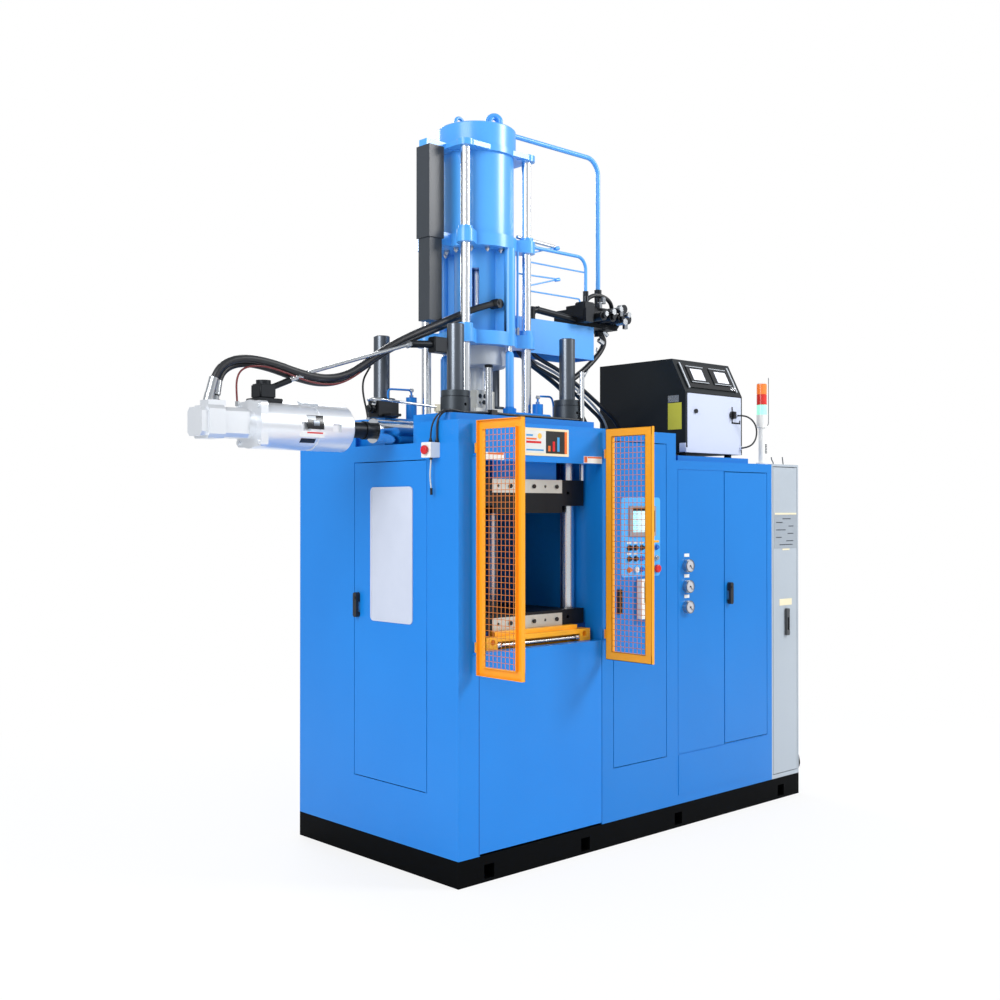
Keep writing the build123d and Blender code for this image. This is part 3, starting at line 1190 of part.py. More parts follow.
def mode_selector():
    """Two-position selector knob with a bar grip."""
    x, z = MODE_PLACE
    face = -OPERATOR_T - SEAT
    knob = rod_y(face - 8, face, x, z, KNOB_D) + panel_stem(MODE_PLACE, 0)
    return knob + box(x - 4, x + 4, face - KNOB_L, face - 7, z - KNOB_D / 2 + 2, z + KNOB_D / 2 - 2)


def start_button():
    """Push button with room for its travel behind the cap."""
    x, z = START_PLACE
    face = -OPERATOR_T - SEAT - PLUNGE
    return rod_y(face - 8, face, x, z, KNOB_D) + panel_stem(START_PLACE, PLUNGE)


def panel_estop():
    """Red mushroom button of the operator plate."""
    x, z = ESTOP_PLACE
    face = -OPERATOR_T - SEAT - PLUNGE
    cap = rod_y(face - 14, face, x, z, ESTOP_D)
    cap = fillet(cap.edges().filter_by(GeomType.CIRCLE).group_by(Axis.Y)[0], 6)
    return cap + panel_stem(ESTOP_PLACE, PLUNGE)


def guard_leaf(x, side):
    """Guard leaf standing open: a channel frame with welded wires and two hinge barrels."""
    y1 = GUARD_PIN_Y - 8
    y0 = y1 - GUARD_LEAF
    half = GUARD_T / 2
    frame = box(x - half, x + half, y0, y1, GUARD_Z0, GUARD_Z1)
    s = GUARD_STILE
    frame -= box(x - half - 1, x + half + 1, y0 + s, y1 - s, GUARD_Z0 + s, GUARD_Z1 - s)
    t = DOOR_SHEET
    open_x = sorted((x - side * (half - t), x + side * (half + 1)))
    hollow = box(open_x[0], open_x[1], y0 + t, y1 - t, GUARD_Z0 + t, GUARD_Z1 - t)
    lip = box(open_x[0] - 1, open_x[1] + 1, y0 + s - t, y1 - s + t, GUARD_Z0 + s - t, GUARD_Z1 - s + t)
    frame -= hollow - lip
    wires = []
    mesh_x = x - side * (half - t - GUARD_WIRE / 2)
    w = GUARD_WIRE / 2
    for number in range(1, GUARD_MESH_COLS):
        y = y0 + s + (y1 - y0 - 2 * s) * number / GUARD_MESH_COLS
        wires.append(box(mesh_x - w, mesh_x + w, y - w, y + w, GUARD_Z0 + s - 1, GUARD_Z1 - s + 1))
    for number in range(1, GUARD_MESH_ROWS):
        z = GUARD_Z0 + s + (GUARD_Z1 - GUARD_Z0 - 2 * s) * number / GUARD_MESH_ROWS
        wires.append(box(mesh_x - w, mesh_x + w, y0 + s - 1, y1 - s + 1, z - w, z + w))
    frame += wires
    for z in guard_hinges():
        barrel = rod(x, GUARD_PIN_Y, z - HINGE_H / 2, z + HINGE_H / 2, 2 * GUARD_PIN_D - 2)
        barrel += box(x - 4, x + 4, y1 - 1, GUARD_PIN_Y, z - HINGE_H / 2, z + HINGE_H / 2)
        frame += barrel
        frame -= rod(x, GUARD_PIN_Y, z - HINGE_H, z + HINGE_H, GUARD_PIN_D + 2 * RUN_FIT)
    return frame


def guard_hinges():
    return (GUARD_Z0 + HINGE_INSET, GUARD_Z1 - HINGE_INSET)


def guard_pins(x):
    """Hinge pins on brackets of the front sheet, one for each barrel of a leaf."""
    pins = Part()
    for z in guard_hinges():
        foot = z - HINGE_H / 2 - SEAT
        pins += box(x - GUARD_EYE_R, x + GUARD_EYE_R, GUARD_PIN_Y, 0, foot - 6, foot)
        pins += rod(x, GUARD_PIN_Y, foot - 6, foot, 2 * GUARD_EYE_R)
        pins += rod(x, GUARD_PIN_Y, foot - 1, z + HINGE_H / 2 + 6, GUARD_PIN_D)
    return pins


def cord(points, diameter, name):
    """Cord tube of straight runs and arcs as large as the runs allow; prints its radii."""
    vectors = [Vector(*point) for point in points]
    runs = [b - a for a, b in zip(vectors, vectors[1:])]
    radii = []
    for a, b in zip(runs, runs[1:]):
        radii.append(0.45 * min(a.length, b.length) / math.tan(math.radians(a.get_angle(b) / 2)))
    path = FilletPolyline(*points, radius=radii)
    shape = tube(path, diameter)
    ideal = math.pi * diameter ** 2 / 4 * path.length
    print(name, "length", round(path.length), "radii", [round(radius) for radius in radii])
    print(name, "volume share", round(shape.volume / ideal, 4), "runs", [round(run.length) for run in runs])
    return shape


def ferrule(end, before, diameter, length):
    """Crimped fitting that takes the end of a hose, in line with its last run."""
    place = Plane(origin=Vector(*end), z_dir=Vector(*end) - Vector(*before))
    return extrude(place * Circle(diameter / 2), length)


def hose_port():
    """Port boss on the yoke with the fitting of the motor hose."""
    boss = rod_y(HOSE_PORT_Y0, HOSE_PORT_Y1, HOSE_PORT_X, HOSE_PORT_Z, HOSE_PORT_D)
    return boss + ferrule(MOTOR_HOSE[-1], MOTOR_HOSE[-2], FERRULE_D, FERRULE_L)


def cable_gland():
    """Gland on the crown that the cable of the second emergency stop runs into."""
    x, y, z = ESTOP_CABLE[-1]
    return box(x, x + 34, y - 15, y + 15, CROWN_TOP, CROWN_TOP + 24)


def glands():
    """Cable glands on the controller front."""
    shapes = Part()
    for end in (ISOLATOR_CABLE[0], ISOLATOR_CABLE[-1]):
        shapes += rod_y(CONTROLLER_Y0 - 10, CONTROLLER_Y0, end[0], end[2], 20)
    return shapes


os.makedirs("parts", exist_ok=True)
save("base_frame", base_frame())
save("press_housing", press_housing() + on_left(door_pivots(access_opening())) + guard_pins(GUARD_LEFT_X))
save("front_panel", front_panel())
save("bay_liner", bay_liner())
save("control_cabinet", control_cabinet() + door_pivots(CONTROL_DOOR) + guard_pins(GUARD_RIGHT_X))
save("power_cabinet", power_cabinet() + door_pivots(POWER_DOOR), power_unit())
save("pressure_gauges", *pressure_gauges())
save("grey_cabinet", grey_cabinet() + door_pivots(GREY_DOOR))
save("crown", crown() + cable_gland())
save("tie_bars", *tie_bars(), signal_rod())
save("tie_bar_nuts", *tie_bar_nuts())
save("clamp_cylinder", clamp_cylinder())
nozzle_hole = rod(AXIS_X, AXIS_Y, UPPER_HOT_Z0 - 1, UPPER_HOT_Z1 + 1, NOZZLE_D + 20)
save("upper_heating_plate", heating_plate(UPPER_HOT_Z0, UPPER_HOT_Z1) - nozzle_hole)
save("upper_adaptor", upper_adaptor())
save("lift_rods", *lift_rods())
save("signal_tower", signal_tower())
save("signal_lenses", *signal_lenses())
save("controller_case", controller_case() + controller_displays())
save("controller_front", controller_front() + glands())
save("estop_box", estop_box())
save("clamp_ram", clamp_ram())
save("moving_platen", moving_platen())
save("lower_heating_plate", heating_plate(PLATEN_Z1, LOWER_HOT_Z1))
save("lower_adaptor", lower_adaptor())
save("ejector_frame", ejector_frame())
save("ejector_bar", ejector_bar())
save("injector_rods", *injector_rods())
save("injector_cylinder", injector_cylinder())
save("injector_cap", injector_cap())
save("injector_yoke", injector_yoke() + hose_port())
save("injection_ring", injection_ring())
save("injection_head", injection_head())
save("cable_duct", cable_duct())
save("arm_box", arm_box())
save("valve_manifold", valve_manifold())
save("oil_pipes", *oil_pipes())
save("plasticiser_barrel", plasticiser_barrel())
save("screw_coupling", screw_coupling())
save("gear_housing", gear_housing())
save("hydraulic_motor", hydraulic_motor() + ferrule(MOTOR_HOSE[0], MOTOR_HOSE[1], FERRULE_D, FERRULE_L + 4))
save("plunger", plunger())
save("access_door", access_door())
save("access_window", access_window())
access_handle = swing_handle(-HANDLE_Y, ACCESS_HANDLE_Z1 - HANDLE_L, ACCESS_HANDLE_Z1)
save("access_handle", on_left(access_handle))
save("left_guard", guard_leaf(GUARD_LEFT_X, -1))
save("right_guard", guard_leaf(GUARD_RIGHT_X, 1))
save("control_door", control_door())
save("touch_screen", touch_screen())
save("power_door", power_door())
save("power_handle", swing_handle(HANDLE_X, HANDLE_Z0, HANDLE_Z1))
save("grey_door", grey_door())
save("box_estop", box_estop())
save("isolator_knob", isolator_knob())
save("panel_estop", panel_estop())
save("mode_selector", mode_selector())
save("start_button", start_button())
save("motor_hose", cord(MOTOR_HOSE, MOTOR_HOSE_D, "motor_hose"))
save("arm_hose", cord(ARM_HOSE, ARM_HOSE_D, "arm_hose"))
save("estop_cable", cord(ESTOP_CABLE, ESTOP_CABLE_D, "estop_cable"))
save("isolator_cable", cord(ISOLATOR_CABLE, ISOLATOR_CABLE_D, "isolator_cable"))
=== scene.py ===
import math

import bmesh
import bpy
from mathutils import Matrix, Vector


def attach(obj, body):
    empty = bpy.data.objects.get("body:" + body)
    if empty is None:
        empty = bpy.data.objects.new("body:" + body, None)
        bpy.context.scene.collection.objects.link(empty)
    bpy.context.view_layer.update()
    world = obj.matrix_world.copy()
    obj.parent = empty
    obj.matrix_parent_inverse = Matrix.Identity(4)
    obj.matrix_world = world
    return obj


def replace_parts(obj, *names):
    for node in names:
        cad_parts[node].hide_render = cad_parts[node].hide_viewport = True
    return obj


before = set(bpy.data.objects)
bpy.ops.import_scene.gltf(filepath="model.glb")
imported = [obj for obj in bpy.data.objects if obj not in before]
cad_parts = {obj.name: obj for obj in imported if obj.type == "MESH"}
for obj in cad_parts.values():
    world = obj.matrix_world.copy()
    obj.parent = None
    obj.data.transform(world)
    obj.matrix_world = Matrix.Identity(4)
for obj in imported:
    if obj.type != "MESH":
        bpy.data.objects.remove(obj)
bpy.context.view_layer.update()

# Studio
# The camera stands where the photograph was taken, at the machine's front left and 1.6 m
# above the floor, and looks 43 degrees to the right of straight back. Floor and backdrop
# are white.
BASE_W = 2600.0
BASE_D = 1208.0
EYE = (-3433.5, -3926.2, 1634.5)
EYE_YAW = 43.13
EYE_PITCH = 0.42
EYE_LENS = 43.64
EYE_SENSOR = 36.0
FLOOR_REACH = 40.0


def at(x, y, z):
    """Metres in the model's frame, from millimetres off the base's front left corner."""
    return Vector(((x - BASE_W / 2) / 1000, (y - BASE_D / 2) / 1000, z / 1000))


def colour(red, green, blue):
    """Linear colour from the 0 to 255 values of a paint chip."""
    linear = []
    for value in (red, green, blue):
        value /= 255
        linear.append(value / 12.92 if value <= 0.04045 else ((value + 0.055) / 1.055) ** 2.4)
    return (*linear, 1.0)


def show(name, data):
    """New object in the scene that holds the given data."""
    piece = bpy.data.objects.new(name, data)
    bpy.context.scene.collection.objects.link(piece)
    return piece


def new_material(name):
    """Material with its node tree, principled shader and object coordinates."""
    material = bpy.data.materials.new(name)
    material.use_nodes = True
    nodes = material.node_tree.nodes
    coords = nodes.new("ShaderNodeTexCoord")
    return material, nodes, material.node_tree.links, nodes["Principled BSDF"], coords.outputs["Object"]


def add_node(nodes, kind, values):
    """New node of a kind, with its inputs set by name."""
    node = nodes.new(kind)
    for name, value in values.items():
        node.inputs[name].default_value = value
    return node


def join(links, *pairs):
    """Links each output to the input beside it."""
    for source, target in pairs:
        links.new(source, target)


camera_data = bpy.data.cameras.new("photo_camera")
camera_data.lens = EYE_LENS
camera_data.sensor_width = EYE_SENSOR
camera_data.clip_end = 60
camera = show("photo_camera", camera_data)
camera.location = at(*EYE)
camera.rotation_euler = (math.radians(90 + EYE_PITCH), 0, math.radians(-EYE_YAW))
bpy.context.scene.camera = camera
bpy.context.scene.view_settings.view_transform = "Standard"

world = bpy.data.worlds.new("studio_white")
bpy.context.scene.world = world
world.use_nodes = True
sky = world.node_tree.nodes
sky_dim = sky["Background"]
sky_dim.inputs["Color"].default_value = (0.93, 0.96, 1.0, 1)
sky_dim.inputs["Strength"].default_value = 0.62
sky_white = add_node(sky, "ShaderNodeBackground", {"Color": (1, 1, 1, 1)})
sky_path = sky.new("ShaderNodeLightPath")
sky_seen = sky.new("ShaderNodeMath")
sky_seen.operation = "MAXIMUM"
sky_mix = sky.new("ShaderNodeMixShader")
join(world.node_tree.links,
     (sky_path.outputs["Is Camera Ray"], sky_seen.inputs[0]),
     (sky_path.outputs["Is Transmission Ray"], sky_seen.inputs[1]),
     (sky_seen.outputs[0], sky_mix.inputs["Fac"]),
     (sky_dim.outputs[0], sky_mix.inputs[1]),
     (sky_white.outputs[0], sky_mix.inputs[2]),
     (sky_mix.outputs[0], sky["World Output"].inputs["Surface"]))


def lamp(name, place, aim, size, power):
    """Square soft box that shines from one place towards another."""
    light = bpy.data.lights.new(name, "AREA")
    light.size = size
    light.energy = power
    holder = show(name, light)
    holder.location = at(*place)
    holder.rotation_euler = (at(*aim) - at(*place)).to_track_quat("-Z", "Y").to_euler()


lamp("soft_key", (5200, -5200, 5600), (900, 300, 1400), 2.2, 415)
lamp("soft_fill", (-5200, -1200, 4200), (300, 500, 1500), 3.0, 235)
lamp("soft_back", (2600, 6200, 5200), (1200, 600, 1500), 3.0, 240)

floor_mesh = bpy.data.meshes.new("studio_floor")
floor_mesh.from_pydata([(-FLOOR_REACH, -FLOOR_REACH, 0), (FLOOR_REACH, -FLOOR_REACH, 0),
                        (FLOOR_REACH, FLOOR_REACH, 0), (-FLOOR_REACH, FLOOR_REACH, 0)],
                       [], [(0, 1, 2, 3)])
floor = show("studio_floor", floor_mesh)
floor_paint, floor_nodes, floor_links, floor_shader, floor_coords = new_material("floor_white")
floor_shader.inputs["Base Color"].default_value = (0.86, 0.87, 0.88, 1)
floor_shader.inputs["Roughness"].default_value = 0.9
floor_glow = add_node(floor_nodes, "ShaderNodeEmission", {"Color": (1, 1, 1, 1)})
floor_path = floor_nodes.new("ShaderNodeLightPath")
floor_share = floor_nodes.new("ShaderNodeMath")
floor_share.operation = "MULTIPLY"
floor_off = floor_nodes.new("ShaderNodeVectorMath")
floor_off.operation = "LENGTH"
floor_fade = add_node(floor_nodes, "ShaderNodeMapRange",
                      {"From Min": 1.6, "From Max": 4.5, "To Min": 0.8, "To Max": 1.0})
floor_mix = floor_nodes.new("ShaderNodeMixShader")
join(floor_links,
     (floor_coords, floor_off.inputs[0]),
     (floor_off.outputs["Value"], floor_fade.inputs["Value"]),
     (floor_path.outputs["Is Camera Ray"], floor_share.inputs[0]),
     (floor_fade.outputs["Result"], floor_share.inputs[1]),
     (floor_share.outputs[0], floor_mix.inputs["Fac"]),
     (floor_shader.outputs[0], floor_mix.inputs[1]),
     (floor_glow.outputs[0], floor_mix.inputs[2]),
     (floor_mix.outputs[0], floor_nodes["Material Output"].inputs["Surface"]))
floor_mesh.materials.append(floor_paint)


# Cords
# Rubber hoses and plastic-covered cables, fixed to the machine at both ends. Those here
# follow the same points as the model's own, and each one stands for its plain tube there.
def run_cord(name, finish, places, diameter, body, node=None):
    """Round cord through the given points, which may stand for a node or end in a plug."""
    data = bpy.data.curves.new(name, "CURVE")
    data.dimensions = "3D"
    data.bevel_depth = diameter / 2
    data.bevel_resolution = 5 if node else 4
    data.resolution_u = 10
    spline = data.splines.new("NURBS")
    spline.points.add(len(places) - 1)
    for knot, place in zip(spline.points, places):
        knot.co = (*at(*place), 1)
    spline.order_u = 3
    spline.use_endpoint_u = True
    data.materials.append(CORD_FINISH[finish])
    piece = show(name, data)
    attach(piece, body)
    if node:
        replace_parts(piece, node)


def textured(name, tones, cloud, grain, relief, settings, gloss=None, pattern="ShaderNodeTexNoise"):
    """Material that drifts between two tones, with a fine pattern as its relief.

    Cloud, grain and settings are the inputs of the drift, the pattern and the shader.
    Relief is the strength and depth of the bump, gloss the range of a drifting roughness.
    """
    material, nodes, links, shader, coords = new_material(name)
    drift = add_node(nodes, "ShaderNodeTexNoise", cloud)
    fine = add_node(nodes, pattern, grain)
    tone = nodes.new("ShaderNodeMix")
    tone.data_type = "RGBA"
    tone.inputs["A"].default_value = colour(*tones[0])
    tone.inputs["B"].default_value = colour(*tones[1])
    bump = add_node(nodes, "ShaderNodeBump", {"Strength": relief[0], "Distance": relief[1]})
    for socket, value in settings.items():
        shader.inputs[socket].default_value = value
    join(links,
         (coords, drift.inputs["Vector"]),
         (coords, fine.inputs["Vector"]),
         (drift.outputs["Fac"], tone.inputs["Factor"]),
         (tone.outputs["Result"], shader.inputs["Base Color"]),
         (fine.outputs["Fac"], bump.inputs["Height"]),
         (bump.outputs["Normal"], shader.inputs["Normal"]))
    if "Emission Strength" in settings:
        links.new(tone.outputs["Result"], shader.inputs["Emission Color"])
    if gloss:
        spread = add_node(nodes, "ShaderNodeMapRange", {"To Min": gloss[0], "To Max": gloss[1]})
        join(links,
             (drift.outputs["Fac"], spread.inputs["Value"]),
             (spread.outputs["Result"], shader.inputs["Roughness"]))
    return material


def hose_cover(name, dark, pale, gloss):
    """Rubber or plastic cover with the faint cross weave of a cloth-wrapped hose."""
    return textured(name, (dark, pale), {"Scale": 22}, {"Scale": 160, "Distortion": 2.5},
                    (0.12, 0.001), {"Roughness": gloss}, pattern="ShaderNodeTexWave")


CORD_FINISH = {"hose": hose_cover("hose_black", (14, 15, 17), (34, 36, 40), 0.42),
               "drain": hose_cover("drain_red", (120, 30, 32), (84, 20, 24), 0.4),
               "pale": hose_cover("pale_cable", (206, 208, 204), (184, 188, 186), 0.4)}
run_cord("motor_hose_cover", "hose", [
    (-935, 462, 2104), (-914, 461, 2184), (-856, 458, 2242), (-765, 454, 2262),
    (-645, 450, 2250), (-511, 444, 2215), (-385, 438, 2200), (-270, 430, 2226),
    (-165, 420, 2295), (-50, 408, 2375), (80, 396, 2440), (210, 388, 2495),
    (325, 380, 2546), (415, 342, 2588), (493.5, 318, 2613)],
    0.032, "injector", "motor_hose")
run_cord("arm_hose_cover", "hose", [
    (800, 500, 2577.7), (800, 500, 2500), (850, 508, 2430), (930, 518, 2385),
    (1040, 535, 2345), (1180, 570, 2300), (1330, 620, 2245), (1480, 680, 2175),
    (1580, 718, 2115), (1635, 740, 2040), (1650, 748, 1975), (1650, 748, 1913.3)],
    0.026, "frame", "arm_hose")
run_cord("estop_cable_cover", "hose", [
    (-26, 156, 1926.3), (-26, 156, 1966), (-25, 144, 2012), (-12, 124, 2050),
    (22, 112, 2071), (68, 110, 2072), (120, 111, 2066), (180, 112, 2066),
    (236, 115, 2071), (289.7, 116, 2072)],
    0.008, "frame", "estop_cable")
run_cord("isolator_cable_cover", "hose", [
    (2112, 68.7, 2150), (2112, 36, 2150), (2141, 10, 2138), (2182, 4, 2108),
    (2204, 6, 2068), (2200, 10, 2024), (2178, 18, 1990), (2150, 38, 1974),
    (2146, 68.7, 1972)],
    0.009, "frame", "isolator_cable")


# Painted sheet and plate
# Steel sprayed with enamel. Tone and gloss drift a little over a panel, and a fine
# orange peel breaks the shine.
def enamel(name, light, deep, rough=0.34, peel=0.05, shine=0.3, coat=0.08):
    """Sprayed paint between two near tones, with orange peel and a soft top coat."""
    return textured(name, (light, deep), {"Scale": 1.7, "Detail": 5},
                    {"Scale": 420, "Detail": 2}, (peel, 0.0006),
                    {"Specular IOR Level": shine, "Coat Weight": coat, "Coat Roughness": 0.18},
                    (rough - 0.05, rough + 0.07))


def dress(material, *names):
    """Gives one finish to whole nodes of the model, and hands it back."""
    for name in names:
        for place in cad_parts[name].material_slots:
            place.material = material
    return material


blue_paint = dress(enamel("blue_enamel", (22, 131, 219), (16, 121, 208)),
                   "press_housing", "front_panel", "crown", "access_door")
# The cabinets take a darker copy of the same blue paint: painted shade that dims their fronts.
dress(enamel("cabinet_blue_painted_shade", (19, 124, 207), (13, 114, 195)),
      "control_cabinet", "control_door", "power_cabinet", "power_door")
# The injector's parts, lift rods and oil pipes take a paler copy of the same blue paint: painted light for
# the brightly lit upper unit.
blue_with_painted_light = dress(enamel("blue_enamel_painted_light", (88, 172, 243), (70, 156, 235), 0.3, 0.05, 0.5, 0.2),
                  "injector_cylinder", "injector_cap", "injector_yoke", "arm_box", "lift_rods", "oil_pipes")
dress(enamel("base_black", (4, 5, 6), (2, 3, 4), 0.55, 0.05, 0.05, 0.0), "base_frame")
dress(enamel("grey_enamel", (176, 184, 192), (164, 173, 181), 0.38), "grey_cabinet", "grey_door")
orange_enamel = dress(enamel("orange_enamel", (252, 172, 40), (244, 158, 32), 0.3),
                      "left_guard", "right_guard")
yellow_enamel = dress(enamel("yellow_enamel", (255, 184, 44), (252, 172, 36), 0.3), "ejector_frame")
silver_enamel = dress(enamel("silver_enamel", (190, 196, 202), (172, 179, 186), 0.34, 0.1, 0.5, 0.2),
                      "injection_ring")
dress(enamel("duct_grey", (62, 67, 74), (48, 53, 58), 0.4), "cable_duct")


# Bare and blackened metal
# Ground chrome bars, turned steel fittings, and plates left with a dark mill or black
# oxide finish. A fine grain runs over them and oil dulls them in patches.
def metal(name, light, deep, rough, scratch=0.08, shine=1.0):
    """Machined metal with drifting tone, patchy gloss and a fine grain."""
    return textured(name, (deep, light), {"Scale": 5.5, "Detail": 7},
                    {"Scale": 260, "Detail": 3}, (scratch, 0.0004), {"Metallic": shine},
                    (rough + 0.08, max(0.03, rough - 0.05)))


chrome = dress(metal("ground_chrome", (244, 246, 249), (234, 238, 242), 0.2, 0.0),
               "injector_rods", "clamp_ram", "plunger")
sleeve_steel = dress(metal("sleeve_steel", (116, 122, 130), (86, 92, 100), 0.3, 0.05), "tie_bars")
dress(metal("bright_casting", (238, 240, 243), (222, 226, 231), 0.3, 0.04, 0.7),
      "gear_housing", "hydraulic_motor")
dress(metal("polished_bar", (226, 229, 233), (218, 222, 227), 0.14, 0.0), "plasticiser_barrel")
turned_steel = dress(metal("turned_steel", (205, 208, 211), (176, 180, 184), 0.26, 0.1),
                     "pressure_gauges", "ejector_bar")
dark_steel = dress(metal("dark_steel", (86, 92, 98), (50, 55, 60), 0.38, 0.18, 0.85), "tie_bar_nuts")
dress(metal("plate_steel", (214, 213, 204), (190, 189, 180), 0.4, 0.12, 0.6),
      "lower_heating_plate", "upper_heating_plate", "injection_head")
black_oxide = dress(metal("black_oxide", (40, 43, 47), (22, 24, 27), 0.4, 0.15, 0.7),
                    "valve_manifold", "lower_adaptor", "upper_adaptor", "screw_coupling")


# Plastic and glass fittings
# Moulded control parts with a fine grain, painted cases, the lens and the door pane.
def plastic(name, light, deep, rough=0.4, grain=0.08, glow=0.0):
    """Moulded plastic with a fine grain, and a faint glow where it is lit from inside."""
    return textured(name, (light, deep), {"Scale": 9}, {"Scale": 700}, (grain, 0.0003),
                    {"Roughness": rough, "Emission Strength": glow})


black_plastic = dress(plastic("black_plastic", (30, 31, 33), (20, 21, 23)),
                      "isolator_knob", "mode_selector", "access_handle", "power_handle")
dress(enamel("case_black", (24, 30, 34), (18, 23, 26), 0.42, 0.05, 0.2), "controller_case")
case_pale = dress(enamel("case_pale", (204, 211, 230), (192, 200, 220), 0.36), "controller_front")
red_plastic = dress(plastic("red_plastic", (214, 30, 34), (196, 20, 26), 0.28),
                    "panel_estop", "box_estop")
white_plastic = dress(plastic("white_plastic", (238, 238, 234), (226, 226, 222), 0.35),
                      "start_button", "signal_tower", "estop_box")
dress(plastic("lens_red", (225, 60, 50), (205, 45, 40), 0.2), "signal_lenses")
dress(plastic("window_pane", (200, 206, 221), (190, 197, 213), 0.16, 0.01), "access_window")


# Guard leaves
# Orange channel frames with a welded wire grid of about 26 mm, hung on two loose-pin
# hinges at the edges of the mould bay. They stand open, square to the front.
class Shape:
    """Mesh under construction, in millimetres off the base's corner."""

    def __init__(self):
        self.mesh = bmesh.new()

    def block(self, x0, x1, y0, y1, z0, z1, round_by=0.0):
        """Box between the given sides, with its edges rounded where a radius is given."""
        low, high = at(x0, y0, z0), at(x1, y1, z1)
        made = bmesh.ops.create_cube(self.mesh, size=1.0)
        bmesh.ops.scale(self.mesh, vec=high - low, verts=made["verts"])
        bmesh.ops.translate(self.mesh, vec=(low + high) / 2, verts=made["verts"])
        if round_by:
            edges = list(dict.fromkeys(edge for vert in made["verts"] for edge in vert.link_edges))
            bmesh.ops.bevel(self.mesh, geom=edges, offset=round_by / 1000, segments=3, affect="EDGES")

    def bar(self, start, end, diameter, sides=12, end_diameter=None):
        """Straight bar, or a cone where its end has a diameter of its own."""
        start, end = at(*start), at(*end)
        along = end - start
        place = Matrix.Translation((start + end) / 2) @ along.to_track_quat("Z", "Y").to_matrix().to_4x4()
        bmesh.ops.create_cone(self.mesh, cap_ends=True, segments=sides, radius1=diameter / 2000,
                              radius2=(end_diameter or diameter) / 2000, depth=along.length, matrix=place)

    def post(self, x, y, z0, z1, *size):
        """Upright bar between two heights."""
        self.bar((x, y, z0), (x, y, z1), *size)

    def skin(self, rows, closed):
        """Faces between rows of points, which join end to end or else get a lid at each."""
        following = rows[1:] + rows[:1] if closed else rows[1:]
        for here, there in zip(rows, following):
            for k in range(len(here)):
                over = (k + 1) % len(here)
                self.mesh.faces.new((here[k], here[over], there[over], there[k]))
        if not closed:
            self.mesh.faces.new(list(reversed(rows[0])))
            self.mesh.faces.new(rows[-1])

    def ring(self, centre, axis, radius, thick, turns=32, sides=10):
        """Round ring about an axis, with its radius and the thickness of its wire."""
        turn = Vector(axis).to_track_quat("Z", "Y").to_matrix().to_4x4()
        place = Matrix.Translation(at(*centre)) @ turn
        rows = []
        for step in range(turns):
            angle = 2 * math.pi * step / turns
            row = []
            for side in range(sides):
                roll = 2 * math.pi * side / sides
                reach = (radius + thick / 2 * math.cos(roll)) / 1000
                height = thick / 2000 * math.sin(roll)
                spot = Vector((reach * math.cos(angle), reach * math.sin(angle), height))
                row.append(self.mesh.verts.new(place @ spot))
            rows.append(row)
        self.skin(rows, True)

    def pipe(self, places, diameter, bend=24.0, sides=12):
        """Rigid tube through the places, with each corner bent to about the given radius."""
        places = [at(*place) for place in places]
        route = [places[0]]
        for before, corner, after in zip(places, places[1:], places[2:]):
            back, ahead = (before - corner), (after - corner)
            reach = min(bend / 1000, back.length * 0.48, ahead.length * 0.48)
            enter, leave = corner + back.normalized() * reach, corner + ahead.normalized() * reach
            for step in range(7):
                share = step / 6
                route.append(enter.lerp(corner, share).lerp(corner.lerp(leave, share), share))
        route.append(places[-1])
        rows = []
        heading = (route[1] - route[0]).normalized()
        side = heading.orthogonal().normalized()
        for number, spot in enumerate(route):
            ahead = route[min(number + 1, len(route) - 1)] - route[max(number - 1, 0)]
            turned = heading.rotation_difference(ahead)
            side.rotate(turned)
            heading = ahead.normalized()
            cross = heading.cross(side)
            row = []
            for k in range(sides):
                roll = 2 * math.pi * k / sides
                off = side * math.cos(roll) + cross * math.sin(roll)
                row.append(self.mesh.verts.new(spot + off * diameter / 2000))
            rows.append(row)
        self.skin(rows, False)

    def slab(self, outline, z0, z1):
        """Flat plate with the given outline in x and y."""
        self.skin([[self.mesh.verts.new(at(x, y, z)) for x, y in outline] for z in (z0, z1)], False)

    def done(self, name, material, body, slot, smooth=False):
        """Makes the object, with its finish and body, and frees the mesh; the slot is not used."""
        bmesh.ops.recalc_face_normals(self.mesh, faces=self.mesh.faces)
        data = bpy.data.meshes.new(name)
        self.mesh.to_mesh(data)
        self.mesh.free()
        data.materials.append(material)
        if smooth:
            data.shade_smooth()
            data.set_sharp_from_angle(angle=math.radians(40))
        piece = show(name, data)
        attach(piece, body)
        return piece


